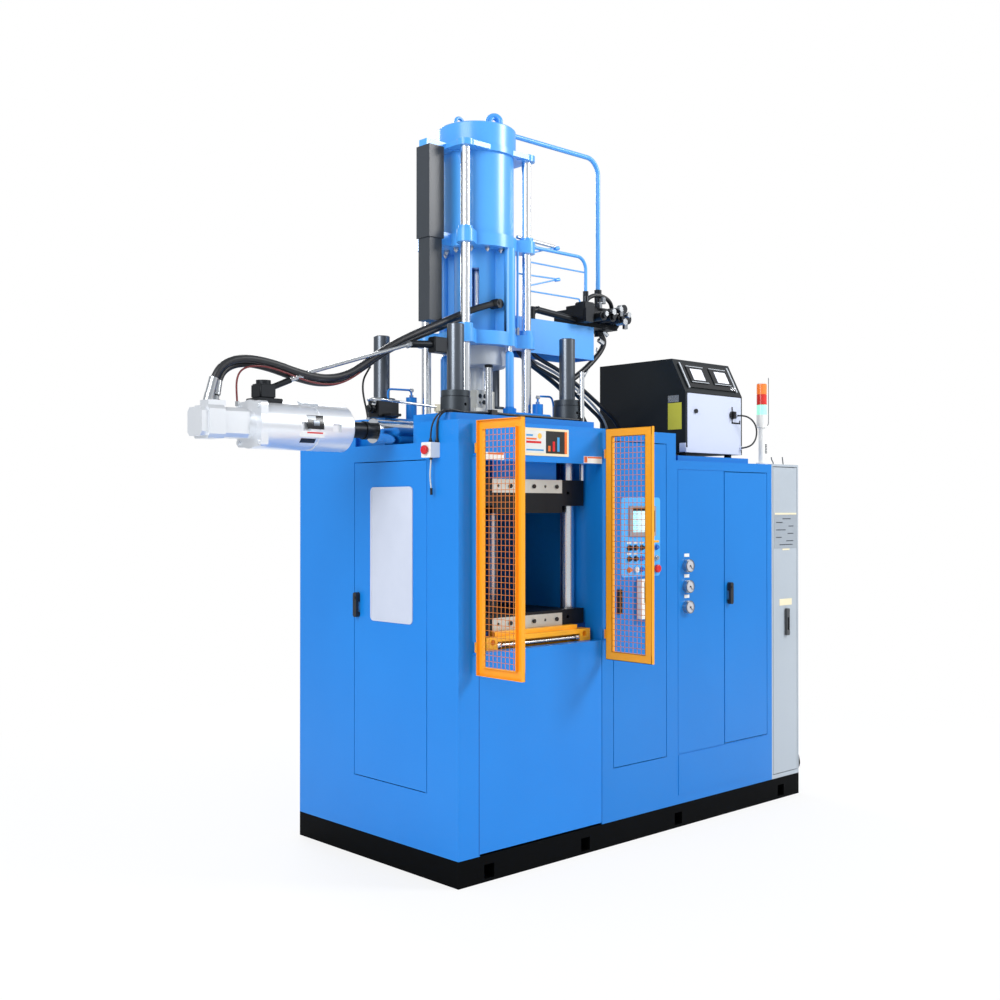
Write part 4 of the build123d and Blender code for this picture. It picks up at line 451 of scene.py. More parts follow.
def guard_leaf(name, body, hinge_x, side):
    """Guard leaf in place of the body's own node; side is the way its hollow faces along x."""
    y0, y1 = -306.0, -22.0
    z0, z1 = 913.0, 2019.0
    stile = 40.0
    sheet = 2.5
    skin0, skin1 = sorted((hinge_x - side * 10, hinge_x - side * (10 - sheet)))
    leaf = Shape()
    for x0, x1, inset, wide in ((skin0, skin1, 0.0, stile), (hinge_x - 10, hinge_x + 10, 0.0, sheet),
                                (hinge_x - 10, hinge_x + 10, stile - sheet, sheet)):
        a0, a1, b0, b1 = y0 + inset, y1 - inset, z0 + inset, z1 - inset
        leaf.block(x0, x1, a0, a1, b0, b0 + wide)
        leaf.block(x0, x1, a0, a1, b1 - wide, b1)
        leaf.block(x0, x1, a0, a0 + wide, b0 + wide, b1 - wide)
        leaf.block(x0, x1, a1 - wide, a1, b0 + wide, b1 - wide)
    for hinge in (1033.0, 1899.0):
        leaf.block(hinge_x - 4, hinge_x + 4, y1 - 1, -19, hinge - 25, hinge + 25)
        for end in (-20, 20):
            leaf.ring((hinge_x, -14, hinge + end), (0, 0, 1), 7, 4, 20, 8)
        for slice_z in range(-16, 17, 4):
            leaf.ring((hinge_x, -14, hinge + slice_z), (0, 0, 1), 7, 4.4, 20, 6)
    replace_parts(leaf.done(name, orange_enamel, body, "orange_paint"), body)
    wires = Shape()
    wire_x = hinge_x - side * 6
    columns, rows = 8, 39
    for count in range(1, columns):
        y = y0 + stile + (y1 - y0 - 2 * stile) * count / columns
        wires.post(wire_x, y, z0 + stile - 2, z1 - stile + 2, 2.5, 6)
    for count in range(1, rows):
        z = z0 + stile + (z1 - z0 - 2 * stile) * count / rows
        wires.bar((wire_x + side * 2, y0 + stile - 2, z), (wire_x + side * 2, y1 - stile + 2, z), 2.5, 6)
    wires.done(name + "_wires", wire_orange, body, "orange_paint", True)


wire_orange = enamel("wire_orange", (214, 130, 62), (200, 116, 50), 0.4)
guard_leaf("left_guard_leaf", "left_guard", 92.0, -1)
guard_leaf("right_guard_leaf", "right_guard", 930.0, 1)


# Finishes of single areas
# Where one piece of the machine carries areas in another finish, such as the chrome of
# the tie bars or the controls on their plate, the faces inside a box take that finish.
def paint(node, material, *boxes):
    """Gives a finish to the faces of a node whose middles lie in one of the boxes."""
    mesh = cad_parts[node].data
    number = len(mesh.materials)
    mesh.materials.append(material)
    areas = [(at(*area[::2]), at(*area[1::2])) for area in boxes]
    for face in mesh.polygons:
        middle = face.center
        if any(all(low[k] <= middle[k] <= high[k] for k in range(3)) for low, high in areas):
            face.material_index = number


paint("tie_bars", chrome, (60, 1000, 60, 860, 500, 2130), (885, 915, 95, 135, 1700, 2400))
paint("injector_yoke", black_oxide, (440, 560, 280, 352.5, 2560, 2660))
paint("hydraulic_motor", turned_steel, (-975, -905, 430, 495, 2077, 2125))
paint("crown", black_plastic, (285, 330, 99, 134, 2061, 2090))
paint("lift_rods", chrome, (545, 605, 255, 315, 2386, 2700), (437, 497, 609, 669, 2386, 2700))
# A darker copy of the blue paint on the bay liner, moving platen and clamp cylinder: painted shade for the
# dim mould bay. Further on the same dark blue is the real colour of seams and joints, and painted shade in
# the air slots.
dark_blue_joints_and_painted_shade = dress(enamel("bay_blue_painted_shade", (22, 72, 150), (16, 58, 128), 0.42),
                        "bay_liner", "moving_platen", "clamp_cylinder")
paint("power_cabinet", enamel("tank_grey", (150, 156, 160), (132, 138, 143), 0.42),
      (1530, 2300, 150, 1150, 124, 1400))
paint("pressure_gauges", plastic("gauge_white", (196, 196, 200), (184, 184, 190), 0.3),
      (1530, 1610, -24.5, -23, 1050, 1400))

knob_blue = plastic("knob_blue", (50, 110, 200), (40, 96, 184), 0.25)
knob_orange = plastic("knob_orange", (226, 128, 70), (206, 108, 56), 0.25)
operator_blue = enamel("operator_blue", (84, 176, 245), (74, 166, 238), 0.3)
for finish, *areas in (
        (operator_blue, (1050, 1357, -3.2, -0.1, 1293, 1697)),
        (black_plastic, (1095, 1340, -40, -3.3, 1315, 1460), (1027, 1057, -11, -0.1, 1120, 1243)),
        (white_plastic, (1170, 1250, -35, -0.1, 1085, 1290)),
        (black_plastic, (1190, 1242, -33.5, -28, 1160, 1275)),
        (knob_blue, (1306, 1336, -40, -3.3, 1427, 1457), (1192, 1222, -40, -3.3, 1373, 1403),
         (1192, 1222, -40, -3.3, 1319, 1349)),
        (knob_orange, (1097, 1127, -40, -3.3, 1319, 1349)),
        (turned_steel, (1306, 1336, -40, -3.3, 1373, 1403)),
        (white_plastic, (1261, 1291, -40, -3.3, 1319, 1349))):
    paint("control_door", finish, *areas)

paint("signal_lenses", plastic("lens_green", (190, 250, 226), (140, 236, 200), 0.2, 0.0, 0.45),
      (2270, 2340, 10, 80, 2160, 2219))
paint("signal_lenses", plastic("lens_orange", (255, 140, 66), (246, 122, 48), 0.2, 0.0, 0.12),
      (2270, 2340, 10, 80, 2278, 2400))

# Black plastic trim, which is also laid as thin patches over holes, slots and recesses, where its black is
# painted shade.
black_trim_and_hole_shade = plastic("black_trim_and_hole_shade", (24, 25, 28), (16, 17, 19), 0.25)
display_white = plastic("display_white", (240, 242, 248), (228, 232, 242), 0.2, 0.0, 0.12)


SLOPE_FOOT = (79, 2257)
SLOPE_HEAD = (172, 2438)


def on_slope(node, material, low_x, high_x, raise_min):
    """Gives a finish to faces that stand out at least so far on the controller's slope."""
    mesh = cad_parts[node].data
    number = len(mesh.materials)
    mesh.materials.append(material)
    foot = at(0, *SLOPE_FOOT)
    run = (at(0, *SLOPE_HEAD) - foot).normalized()
    out = Vector((0, -run.z, run.y))
    for face in mesh.polygons:
        offset = face.center - foot
        height = offset.y * out.y + offset.z * out.z
        x = face.center.x * 1000 + BASE_W / 2
        if height > raise_min / 1000 and low_x < x < high_x and face.normal.dot(out) > 0.9:
            face.material_index = number


on_slope("controller_case", black_trim_and_hole_shade, 1690, 2140, 6)


# Touch screen
# Seven inch operator screen in a grey bezel: a bright blue page that pales to the right,
# with dark key strips above and beside it.
def screen_page():
    """Blue blocks between pale lines, which fade to white across the screen's plane."""
    material, nodes, links, shader, coords = new_material("screen_page")
    split = nodes.new("ShaderNodeSeparateXYZ")
    plane = nodes.new("ShaderNodeCombineXYZ")
    fade = add_node(nodes, "ShaderNodeMapRange",
                    {"From Min": at(1131, 0, 0).x, "From Max": at(1278, 0, 0).x})
    lines = add_node(nodes, "ShaderNodeTexBrick", {
        "Scale": 26, "Color1": colour(130, 222, 246), "Color2": colour(112, 208, 240),
        "Mortar": colour(196, 240, 250)})
    mix = nodes.new("ShaderNodeMix")
    mix.data_type = "RGBA"
    mix.inputs["B"].default_value = colour(236, 250, 253)
    shader.inputs["Emission Strength"].default_value = 0.35
    shader.inputs["Roughness"].default_value = 0.15
    join(links,
         (coords, split.inputs[0]),
         (split.outputs["X"], fade.inputs["Value"]),
         (split.outputs["X"], plane.inputs["X"]),
         (split.outputs["Z"], plane.inputs["Y"]),
         (plane.outputs[0], lines.inputs["Vector"]),
         (fade.outputs["Result"], mix.inputs["Factor"]),
         (lines.outputs["Color"], mix.inputs["A"]),
         (mix.outputs["Result"], shader.inputs["Base Color"]),
         (mix.outputs["Result"], shader.inputs["Emission Color"]))
    return material


dress(plastic("bezel_grey", (150, 148, 156), (134, 132, 140), 0.4), "touch_screen")
paint("touch_screen", screen_page(), (1131, 1279, -9.5, -8.5, 1518, 1625))


def boxes(name, material, body, slot, *sides):
    """Piece made of boxes only, each given by its sides."""
    part = Shape()
    for box in sides:
        part.block(*box)
    part.done(name, material, body, slot)


boxes("screen_keys", black_trim_and_hole_shade, "control_door", "screen", (1131, 1290, -12.2, -9, 1626, 1640),
      (1281, 1300, -12.2, -9, 1519, 1626), (1128, 1131, -9.6, -8.8, 1518, 1626))


# Lines of the plasticiser
# Second pressure hose beside the first, the thin drain and sensor lines under them, and
# the rotary union with its rigid bright tube. All are screwed or crimped at both ends.
run_cord("second_hose", "hose", [
    (-897, 478, 2096), (-888, 482, 2150), (-850, 490, 2214), (-765, 490, 2244),
    (-645, 486, 2232), (-511, 480, 2196), (-385, 474, 2178), (-270, 466, 2202),
    (-165, 456, 2270), (-50, 444, 2350), (80, 432, 2414), (210, 424, 2468),
    (300, 420, 2506), (365, 428, 2530), (413, 436, 2544)], 0.028, "injector")
run_cord("drain_line", "drain", [
    (-808, 462, 2072), (-812, 462, 2120), (-812, 461, 2168), (-797, 459, 2205),
    (-760, 457, 2226), (-700, 453, 2233), (-645, 449, 2227), (-580, 446, 2212),
    (-511, 443, 2192), (-450, 441, 2180), (-385, 438, 2176), (-320, 434, 2182),
    (-262, 430, 2206), (-210, 425, 2240)], 0.008, "injector")
run_cord("sensor_line", "hose", [
    (-137, 462, 2040), (-143, 464, 2078), (-156, 466, 2125), (-164, 467, 2172),
    (-161, 466, 2214), (-146, 462, 2246), (-128, 457, 2276)], 0.009, "injector")

union = Shape()
union.block(-738, -618, 412, 512, 2077, 2097, 3)
union.block(-722, -644, 424, 500, 2096, 2158, 6)
union.post(-683, 462, 2150, 2174, 62, 24)
union.bar((-660, 462, 2140), (-556, 455, 2184), 27, 16)
union.bar((45, 380, 2386), (156, 368, 2394), 34, 16)
union.block(153, 256, 340, 394, 2357, 2429, 5)
union.bar((256, 367, 2393), (332, 380, 2420), 26, 14)
union.done("rotary_union", black_oxide, "injector", "black_oxide", True)
tube = Shape()
tube.bar((-560, 455, 2183), (-470, 441, 2221), 21, 16)
for step in range(7):
    share = step / 6
    place = (-556 + 82 * share, 454.4 - 12.8 * share, 2184.7 + 34.6 * share)
    tube.ring(place, (0.9, -0.14, 0.38), 11, 4, 18, 6)
tube.bar((-470, 441, 2221), (45, 380, 2386), 17, 14)
tube.bar((20, 383, 2378), (45, 380, 2386), 30, 6)
tube.done("union_tube", turned_steel, "injector", "bright_steel", True)

fittings = Shape()
fittings.post(-897, 478, 2066, 2082, 32, 6)
fittings.bar((-897, 478, 2080), (-896, 478, 2104), 25, 16)
fittings.bar((-935, 462, 2100), (-916, 461, 2168), 39, 18)
fittings.bar((-896, 478, 2100), (-884, 483, 2160), 34, 18)
fittings.post(-808, 462, 2058, 2078, 17, 6)
fittings.post(-137, 462, 2036, 2046, 16, 6)
fittings.bar((400, 434, 2538), (416, 436.5, 2545.5), 36, 18)
fittings.done("hose_fittings", turned_steel, "injector", "bright_steel", True)


# Openings in the gear housing
# The housing is a casting with an inspection slot over the shaft, a bare plate under it
# with a red strip, and a cast pad on top. The slot and a recess are thin black patches,
# painted shade for the openings.
HOUSING_Y = 462
HOUSING_Z = 1987
HOUSING_RADIUS = 102


def curved_patch(name, x0, x1, turn0, turn1, lift, material, slot):
    """Thin patch round the housing, between two turns from straight up towards the front."""
    patch = Shape()
    steps = 10
    rows = []
    for step in range(steps + 1):
        turn = math.radians(turn0 + (turn1 - turn0) * step / steps)
        row = []
        for x, rise in ((x0, -2), (x0, lift), (x1, lift), (x1, -2)):
            radius = HOUSING_RADIUS + rise
            place = at(x, HOUSING_Y - radius * math.sin(turn), HOUSING_Z + radius * math.cos(turn))
            row.append(patch.mesh.verts.new(place))
        rows.append(row)
    patch.skin(rows, False)
    patch.done(name, material, "injector", slot)


# The slot and the recess are black patches: painted shade for the openings.
curved_patch("housing_slot", -530, -446, 64, 98, 0.6, black_trim_and_hole_shade, "black_plastic")
curved_patch("housing_slot_lip", -530, -486, 66, 76, 2.4, silver_enamel, "silver_paint")
curved_patch("housing_slot_hook", -500, -470, 78, 90, 2.0, sleeve_steel, "silver_paint")
curved_patch("housing_plate", -562, -438, 104, 118, 1.4, white_plastic, "white_plate")
curved_patch("housing_strip", -530, -450, 105, 108.5, 1.9, red_plastic, "red_plastic")
curved_patch("housing_recess_shade", -553, -478, 122, 135, 0.6, black_trim_and_hole_shade, "black_plastic")
curved_patch("housing_pad", -524, -440, 8, 28, 7, silver_enamel, "silver_paint")


# Crown top
# Cables and thin oil lines that lie on the crown round the tie bar nuts, pushed into
# glands and fittings, and the line, valve and clamp that rise with the injector.
run_cord("crown_cable", "hose", [
    (323.7, 116, 2071), (365, 113, 2068), (430, 110, 2066.5), (510, 107, 2066.5),
    (600, 107, 2066.5), (690, 109, 2066.5), (780, 108, 2066.5), (845, 110, 2066.5),
    (884, 111, 2067)], 0.012, "frame")
run_cord("second_estop_cable", "hose", [
    (-8, 134, 1932), (-8, 134, 1970), (-9, 132, 2006), (-3, 128, 2038), (24, 124, 2063),
    (68, 126, 2069), (120, 126, 2065), (180, 127, 2065), (236, 126, 2067), (289.5, 125, 2068)],
    0.009, "frame")
plug = Shape()
plug.bar((-21.3, 157, 1726), (-20.6, 157, 1696), 12, 12)
lead_end = plug.done("lead_connector", black_trim_and_hole_shade, "frame", "black_plastic")
run_cord("box_lead", "pale", [
    (-22, 158, 1856), (-24, 158, 1822), (-27, 159, 1788), (-25, 158, 1752), (-21, 157, 1722)],
    0.007, "frame")
glands = Shape()
for x, y in ((-26, 156), (-8, 134)):
    glands.post(x, y, 1925.5, 1936, 17, 6)
    glands.post(x, y, 1936, 1946, 14, 14, 10)
glands.post(-22, 158, 1850, 1860, 14, 6)
glands.block(876, 894, 101, 121, 2060, 2078, 2)
glands.done("cable_glands", black_plastic, "frame", "black_plastic")

lines = Shape()
lines.pipe([(245, 625, 2166), (245, 625, 2206), (103, 625, 2203), (101, 625, 2059)], 10, 22)
lines.pipe([(740, 260, 2140), (740, 260, 2184), (838, 262, 2187), (858, 268, 2150),
            (858, 268, 2059)], 10, 22)
lines.block(462, 690, 112, 352, 2058, 2082, 6)
lines.post(575, 285, 2081, 2116, 66, 6)
lines.post(575, 285, 2115, 2124, 44, 20)
lines.done("crown_lines", blue_paint, "frame", "blue_paint", True)
bright = Shape()
for x, y, z in ((245, 625, 2168), (740, 260, 2142)):
    bright.post(x, y, z, z + 14, 20, 6)
    bright.block(x - 9, x + 11, y - 8, y + 8, z + 28, z + 45, 3)
bright.post(452, 300, 2058, 2308, 30, 20)
bright.done("crown_bright_lines", turned_steel, "frame", "bright_steel", True)
barrel_line = Shape()
barrel_line.pipe([(-26, 552, 2126), (-112, 500, 2129), (-146, 430, 2128), (-120, 402, 2126),
                  (212, 400, 2110)], 13, 30)
barrel_line.bar((-40, 546, 2124), (-14, 562, 2124), 24, 6)
barrel_line.done("barrel_line", turned_steel, "injector", "bright_steel", True)
valve = Shape()
valve.block(-30, 94, 528, 600, 2059, 2134, 4)
valve.bar((-52, 560, 2098), (-28, 560, 2098), 44, 8)
valve.bar((-66, 560, 2098), (-50, 560, 2098), 30, 8)
valve.post(30, 560, 2133, 2152, 34, 6)
valve.block(0, 60, 470, 535, 2062, 2074)
valve.done("barrel_valve", black_oxide, "injector", "black_oxide")
column_cap = Shape()
column_cap.post(452, 300, 2304, 2318, 40, 6)
column_cap.done("column_cap", black_oxide, "frame", "black_oxide")
knob = Shape()
knob.post(222, 400, 2059, 2092, 22, 16)
knob.post(222, 400, 2090, 2122, 36, 18, 30)
knob.done("line_clamp", plastic("beige_plastic", (214, 205, 178), (198, 188, 160)),
          "injector", "pale_plastic")


# Signs on the header
# A printed picture plate in a cream border, in plain fields of colour, and two small
# bare plates with a coloured strip. All are glued flat to the sheet.
def sign_part(material, slot, name, *fields):
    """Flat fields on the header's front, given along x and z with their rise."""
    boxes(name, material, "frame", slot,
          *[(x0, x1, -rise, 0.3, z0, z1) for x0, x1, z0, z1, rise in fields])


sign_part(plastic("sign_cream", (236, 222, 190), (226, 211, 178), 0.3), "white_plate",
          "sign_border", (379, 683, 1878, 2004, 3.0))
sign_part(plastic("sign_pale", (226, 226, 222), (206, 208, 208), 0.3), "white_plate",
          "sign_left_field", (391, 530, 1890, 1993, 3.6))
sign_part(plastic("sign_dark", (22, 24, 28), (40, 44, 42), 0.3), "black_plastic",
          "sign_right_field", (530, 655, 1890, 1993, 3.6))
sign_part(plastic("sign_orange", (236, 120, 44), (222, 96, 36), 0.3), "orange_paint",
          "sign_orange_bars", (655, 671, 1890, 1993, 3.6), (404, 470, 1950, 1958, 4.2),
          (545, 560, 1900, 1925, 4.2))
sign_part(red_plastic, "red_plastic",
          "sign_red_bars", (404, 500, 1934, 1944, 4.2), (575, 590, 1900, 1946, 4.2))
sign_part(plastic("sign_blue", (70, 160, 214), (50, 138, 200), 0.3), "blue_paint",
          "sign_blue_bars", (404, 446, 1966, 1974, 4.2), (605, 620, 1900, 1966, 4.2),
          (404, 516, 1900, 1907, 4.2))
sign_part(white_plastic, "white_plate",
          "small_plates", (137, 268, 1852, 1885, 1.6), (789, 916, 1852, 1885, 1.6))
sign_part(plastic("strip_orange", (232, 110, 60), (216, 92, 48), 0.35), "orange_paint",
          "plate_strips", (172, 266, 1875, 1883, 2.0), (791, 812, 1855, 1883, 2.0),
          (816, 914, 1876, 1883, 2.0))
sun = Shape()
sun.bar((490, 0.3, 1968), (490, -4.4, 1968), 26, 28)
sun.bar((632, 0.3, 1978), (632, -3.4, 1978), 14, 20)
sun.done("sign_discs", plastic("sign_amber", (246, 196, 92), (236, 176, 70), 0.3),
         "frame", "yellow_paint")


# Valves and hoses of the arm
# Pressure hoses from the arm to the cabinet, the hoses of the manifold, thin sensor
# tubes, the fittings screwed into the valve blocks, and the bolts, lifting eye and plug
# of the cylinder.
run_cord("arm_hose_front", "hose", [
    (838, 430, 2577), (838, 431, 2505), (860, 440, 2448), (918, 456, 2412), (1000, 464, 2387),
    (1093, 470, 2361), (1185, 474, 2322), (1280, 478, 2277), (1376, 482, 2227), (1474, 486, 2173),
    (1563, 490, 2124), (1624, 494, 2050), (1640, 497, 1985), (1641, 498, 1913)], 0.022, "frame")
run_cord("arm_hose_low", "hose", [
    (846, 478, 2577), (846, 480, 2500), (866, 487, 2432), (942, 498, 2374), (1042, 506, 2345),
    (1136, 512, 2319), (1229, 516, 2276), (1325, 520, 2222), (1410, 524, 2172), (1500, 530, 2123),
    (1548, 540, 2040), (1580, 546, 1972), (1584, 548, 1913)], 0.02, "frame")
run_cord("arm_hose_pale", "pale", [
    (842, 532, 2577), (842, 533, 2496), (884, 533, 2432), (984, 532, 2398), (1084, 536, 2371),
    (1176, 540, 2344), (1271, 545, 2303), (1363, 550, 2258), (1469, 556, 2197), (1560, 562, 2126),
    (1606, 568, 2040), (1626, 572, 1970), (1628, 574, 1913)], 0.014, "frame")
run_cord("manifold_loop", "hose", [
    (1398, 462, 2584), (1432, 461, 2566), (1448, 461, 2530), (1428, 466, 2488), (1384, 472, 2440),
    (1330, 478, 2392), (1270, 481, 2350), (1215, 478, 2318)], 0.03, "injector")
run_cord("manifold_bridge", "hose", [
    (1164, 352, 2664), (1176, 350, 2706), (1206, 345, 2736), (1248, 338, 2750), (1298, 334, 2746),
    (1344, 336, 2732), (1380, 346, 2706), (1398, 362, 2672)], 0.022, "injector")

feet = Shape()
for x, y in ((1641, 498), (1584, 548), (1628, 574)):
    feet.post(x, y, 1912, 1938, 30, 6)
feet.done("hose_feet", dark_steel, "frame", "dark_steel")
arm_black = Shape()
arm_black.bar((840, 372, 2632), (1120, 372, 2611), 34, 20)
arm_black.post(808, 372, 2583, 2642, 38, 20)
arm_black.bar((808, 372, 2622), (842, 372, 2631), 30, 16)
arm_black.bar((818, 398, 2583), (862, 372, 2648), 16, 10)
arm_black.block(1118, 1200, 300, 372, 2600, 2700, 6)
arm_black.bar((1300, 300, 2650), (1300, 262, 2650), 58, 24)
arm_black.bar((1420, 330, 2690), (1420, 292, 2690), 46, 20)
arm_black.bar((1438, 350, 2640), (1438, 286, 2640), 60, 24)
arm_black.bar((1398, 462, 2584), (1400, 462, 2560), 42, 20)
arm_black.done("arm_fittings", black_oxide, "injector", "black_oxide", True)
plated = Shape()
for x, y, z, size in ((1147, 319, 2716, 30), (1262, 300, 2716, 26), (1392, 300, 2690, 28),
                      (1356, 262, 2656, 26), (1238, 300, 2690, 20), (1452, 316, 2606, 30)):
    plated.post(x, y, z - 16, z + 12, size, 6)
    plated.ring((x, y, z + 13), (0, 0, 1), size * 0.36, 7, 18, 8)
for x, z, size in ((1285, 2655, 26), (1340, 2676, 22), (1372, 2612, 30), (1404, 2652, 24),
                   (1228, 2640, 20)):
    plated.bar((x, 300, z), (x, 250, z), size, 8)
    plated.bar((x, 252, z), (x, 244, z), size + 8, 6)
plated.pipe([(1398, 470, 2500), (1392, 470, 2462), (1272, 480, 2290), (1262, 484, 2240)], 9, 30)
plated.bar((1418, 440, 2590), (1446, 436, 2566), 22, 8)
plated.bar((1392, 452, 2540), (1424, 450, 2524), 26, 8)
plated.done("plated_fittings", turned_steel, "injector", "bright_steel", True)

thin = Shape()
thin.pipe([(752, 330, 2852), (1138, 324, 2851)], 8)
thin.pipe([(682, 330, 2785), (925, 330, 2792), (948, 330, 2790), (752, 330, 2735)], 8, 12)
thin.pipe([(752, 330, 2709), (1110, 330, 2711), (1116, 330, 2698)], 8, 12)
thin.pipe([(782, 330, 2903), (930, 330, 2948)], 8)
thin.bar((930, 330, 2944), (958, 330, 2950), 20, 12)
thin.bar((936, 330, 2786), (964, 330, 2793), 18, 12)
thin.pipe([(642, 300, 2884), (641, 300, 2478)], 12)
thin.done("sensor_tubes", blue_with_painted_light, "injector", "blue_paint", True)
rod = Shape()
rod.bar((668, 330, 2962), (930, 330, 2952), 17, 14)
rod.post(641, 300, 2476, 2512, 20, 8)
rod.done("position_rod", turned_steel, "injector", "bright_steel", True)
# Black discs on the injection head stand for its ports: painted shade for the holes.
port_shade_discs = Shape()
for x, z in ((480, 2178), (512, 2178), (506, 2148)):
    port_shade_discs.bar((x, 394, z), (x, 390.6, z), 22, 20)
port_shade_discs.done("head_port_shades", black_trim_and_hole_shade, "injector", "black_plastic")

bolts = Shape()
for step in range(12):
    turn = math.radians(30 * step + 8)
    x, y = 521 + 152 * math.cos(turn), 462 + 152 * math.sin(turn)
    bolts.post(x, y, 2884, 2872, 26, 6)
    bolts.post(x, y, 2873, 2861, 24, 14, 8)
bolts.done("flange_bolts", turned_steel, "injector", "bright_steel", True)
eye = Shape()
eye.post(583, 404, 3470, 3482, 60, 24)
eye.ring((583, 404, 3523), (0.68, 0.73, 0), 31, 25, 32, 12)
eye.post(583, 404, 3480, 3500, 34, 16)
eye.done("lifting_eye", blue_with_painted_light, "injector", "blue_paint", True)
disc = Shape()
disc.post(480, 470, 3470, 3482, 120, 32)
disc.done("cap_plug", dark_steel, "injector", "dark_steel", True)


# Webs of the injector
# Flame-cut plate, welded between the four ears under the cap and between the yoke and
# its two lift cylinders.
webs = Shape()
outline = []
for corner_x, corner_y, start in ((720, 605, 0), (322, 605, 90), (322, 319, 180), (720, 319, 270)):
    for step in range(7):
        turn = math.radians(start + 15 * step)
        outline.append((corner_x + 38 * math.cos(turn), corner_y + 38 * math.sin(turn)))
webs.slab(outline, 3337, 3360)
for way in (1, -1):
    near, far, half = 100, 168, 9
    along = Vector((0.29, -0.957)) * way
    across = Vector((0.957, 0.29)) * half
    centre = Vector((521, 462))
    corners = (centre + along * near + across, centre + along * far + across,
               centre + along * far - across, centre + along * near - across)
    webs.slab([tuple(corner) for corner in corners], 2478, 2884)
webs.done("injector_webs", blue_with_painted_light, "injector", "blue_paint")


# Controller and signal tower
# Silver rims round the two small displays, bare plates and a bracket on the case, the
# switch surround, the tower's pale tube with its lead, and hooks on the cabinet.
SLOPE_RUN = (0.457, 0.8894)


def slope_part(name, material, slot, *blocks):
    """Flat parts on the controller's sloping face, given along x and up the slope."""
    part = Shape()
    for x0, x1, s0, s1, low, high in blocks:
        rows = []
        for lift in (low, high):
            row = []
            for x, up in ((x0, s0), (x1, s0), (x1, s1), (x0, s1)):
                y = SLOPE_FOOT[0] + up * SLOPE_RUN[0] - lift * SLOPE_RUN[1]
                z = SLOPE_FOOT[1] + up * SLOPE_RUN[1] + lift * SLOPE_RUN[0]
                row.append(part.mesh.verts.new(at(x, y, z)))
            rows.append(row)
        part.skin(rows, False)
    part.done(name, material, "frame", slot)


slope_part("display_glass", display_white, "screen",
           (1766, 1866, 72, 142, 12, 14), (1976, 2076, 70, 140, 12, 14))
slope_part("display_rims", silver_enamel, "silver_paint",
           (1698, 1708, 22, 180, 6, 10), (2119, 2129, 22, 180, 6, 10),
           (1740, 1888, 57, 61, 12, 14), (1740, 1888, 155, 159, 12, 14),
           (1940, 2088, 57, 61, 12, 14), (1940, 2088, 155, 159, 12, 14))
key_rings = Shape()
for x in (2088, 2110):
    key_rings.ring((x, SLOPE_FOOT[0] + 42 * SLOPE_RUN[0] - 8, SLOPE_FOOT[1] + 42 * SLOPE_RUN[1] + 4),
                   (0, -SLOPE_RUN[1], SLOPE_RUN[0]), 9, 4, 24, 8)
key_rings.done("slope_keys", turned_steel, "frame", "bright_steel", True)

boxes("case_yellow_plate", plastic("plate_yellow", (202, 198, 66), (184, 178, 54), 0.4),
      "frame", "yellow_paint", (1660.4, 1663, 104, 196, 2058, 2200))
boxes("case_grey_plate", turned_steel, "frame", "bright_steel", (1660.4, 1663, 122, 196, 2204, 2240))
boxes("case_bracket", case_pale, "frame", "pale_plastic", (1655, 1662, 74, 116, 1936, 1984, 2),
      (1655, 1700, 70, 80, 1934, 1960, 2), (1676, 2150, 73, 80, 1934, 1947, 1))
surround = Shape()
for x0, x1, z0, z1 in ((2064, 2072, 2106, 2196), (2064, 2142, 2104, 2112), (2134, 2142, 2104, 2124)):
    surround.block(x0, x1, 73, 76, z0, z1)
surround.bar((1743, 76, 2156), (1743, 66, 2156), 24, 24)
surround.done("switch_surround", black_trim_and_hole_shade, "frame", "black_plastic", True)

tower = Shape()
tower.post(2306, 45, 1887, 2092, 36, 28)
tower.post(2306, 45, 1884, 1894, 66, 28)
tower.post(2306, 45, 2337, 2343, 56, 28, 40)
tower.done("tower_tube", white_plastic, "frame", "pale_plastic", True)
wire = Shape()
wire.pipe([(2320, 32, 2094), (2334, 19, 2110), (2334, 19, 2372)], 4, 10)
for number in range(6):
    wire.ring((2322, 30, 1950 + 9 * number), (0.3, 0.1, 1), 6, 3.4, 16, 6)
wire.done("tower_wire", sleeve_steel, "frame", "dark_steel", True)
hooks = Shape()
hooks.pipe([(2398, 45, 1928), (2402, 45, 1912), (2416, 45, 1900), (2418, 45, 1884)], 6, 8)
hooks.pipe([(2508, 45, 1932), (2512, 45, 1910), (2518, 45, 1884)], 6, 8)
hooks.done("cabinet_hooks", sleeve_steel, "frame", "dark_steel", True)


# Trim of the cabinets
# Gauge bezels and needles, bare tags, the painted seam of the press front, the grey
# cabinet's bare plates and dark latch, and the stub of a cable at its foot.
gauge_trim, gauge_needles, tags = Shape(), Shape(), Shape()
for gauge_z in (1340, 1233, 1127):
    gauge_trim.ring((1570, -25, gauge_z), (0, 1, 0), 31.5, 4.5, 36, 8)
    gauge_needles.bar((1570, -26.5, gauge_z), (1587, -26.5, gauge_z - 17), 2.6, 6)
    gauge_needles.bar((1570, -28, gauge_z), (1570, -25, gauge_z), 8, 12)
    tags.block(1550, 1590, -1.6, 0, gauge_z + 46, gauge_z + 63)
tags.done("gauge_tags", white_plastic, "frame", "white_plate")
gauge_trim.done("gauge_bezels", sleeve_steel, "frame", "dark_steel", True)
gauge_needles.done("gauge_needles", black_trim_and_hole_shade, "frame", "black_plastic")
button_tags = Shape()
for tag_x, tag_z in ((1112, 1467), (1161, 1467), (1207, 1467), (1112, 1413), (1161, 1413),
                     (1276, 1413)):
    button_tags.block(tag_x - 15, tag_x + 15, -4.2, -2.5, tag_z - 4, tag_z + 4)
button_tags.done("button_tags", white_plastic, "control_door", "white_plate")
boxes("yellow_tag", yellow_enamel, "control_door", "yellow_paint",
      (1301, 1341, -4.4, -2.5, 1466, 1476))
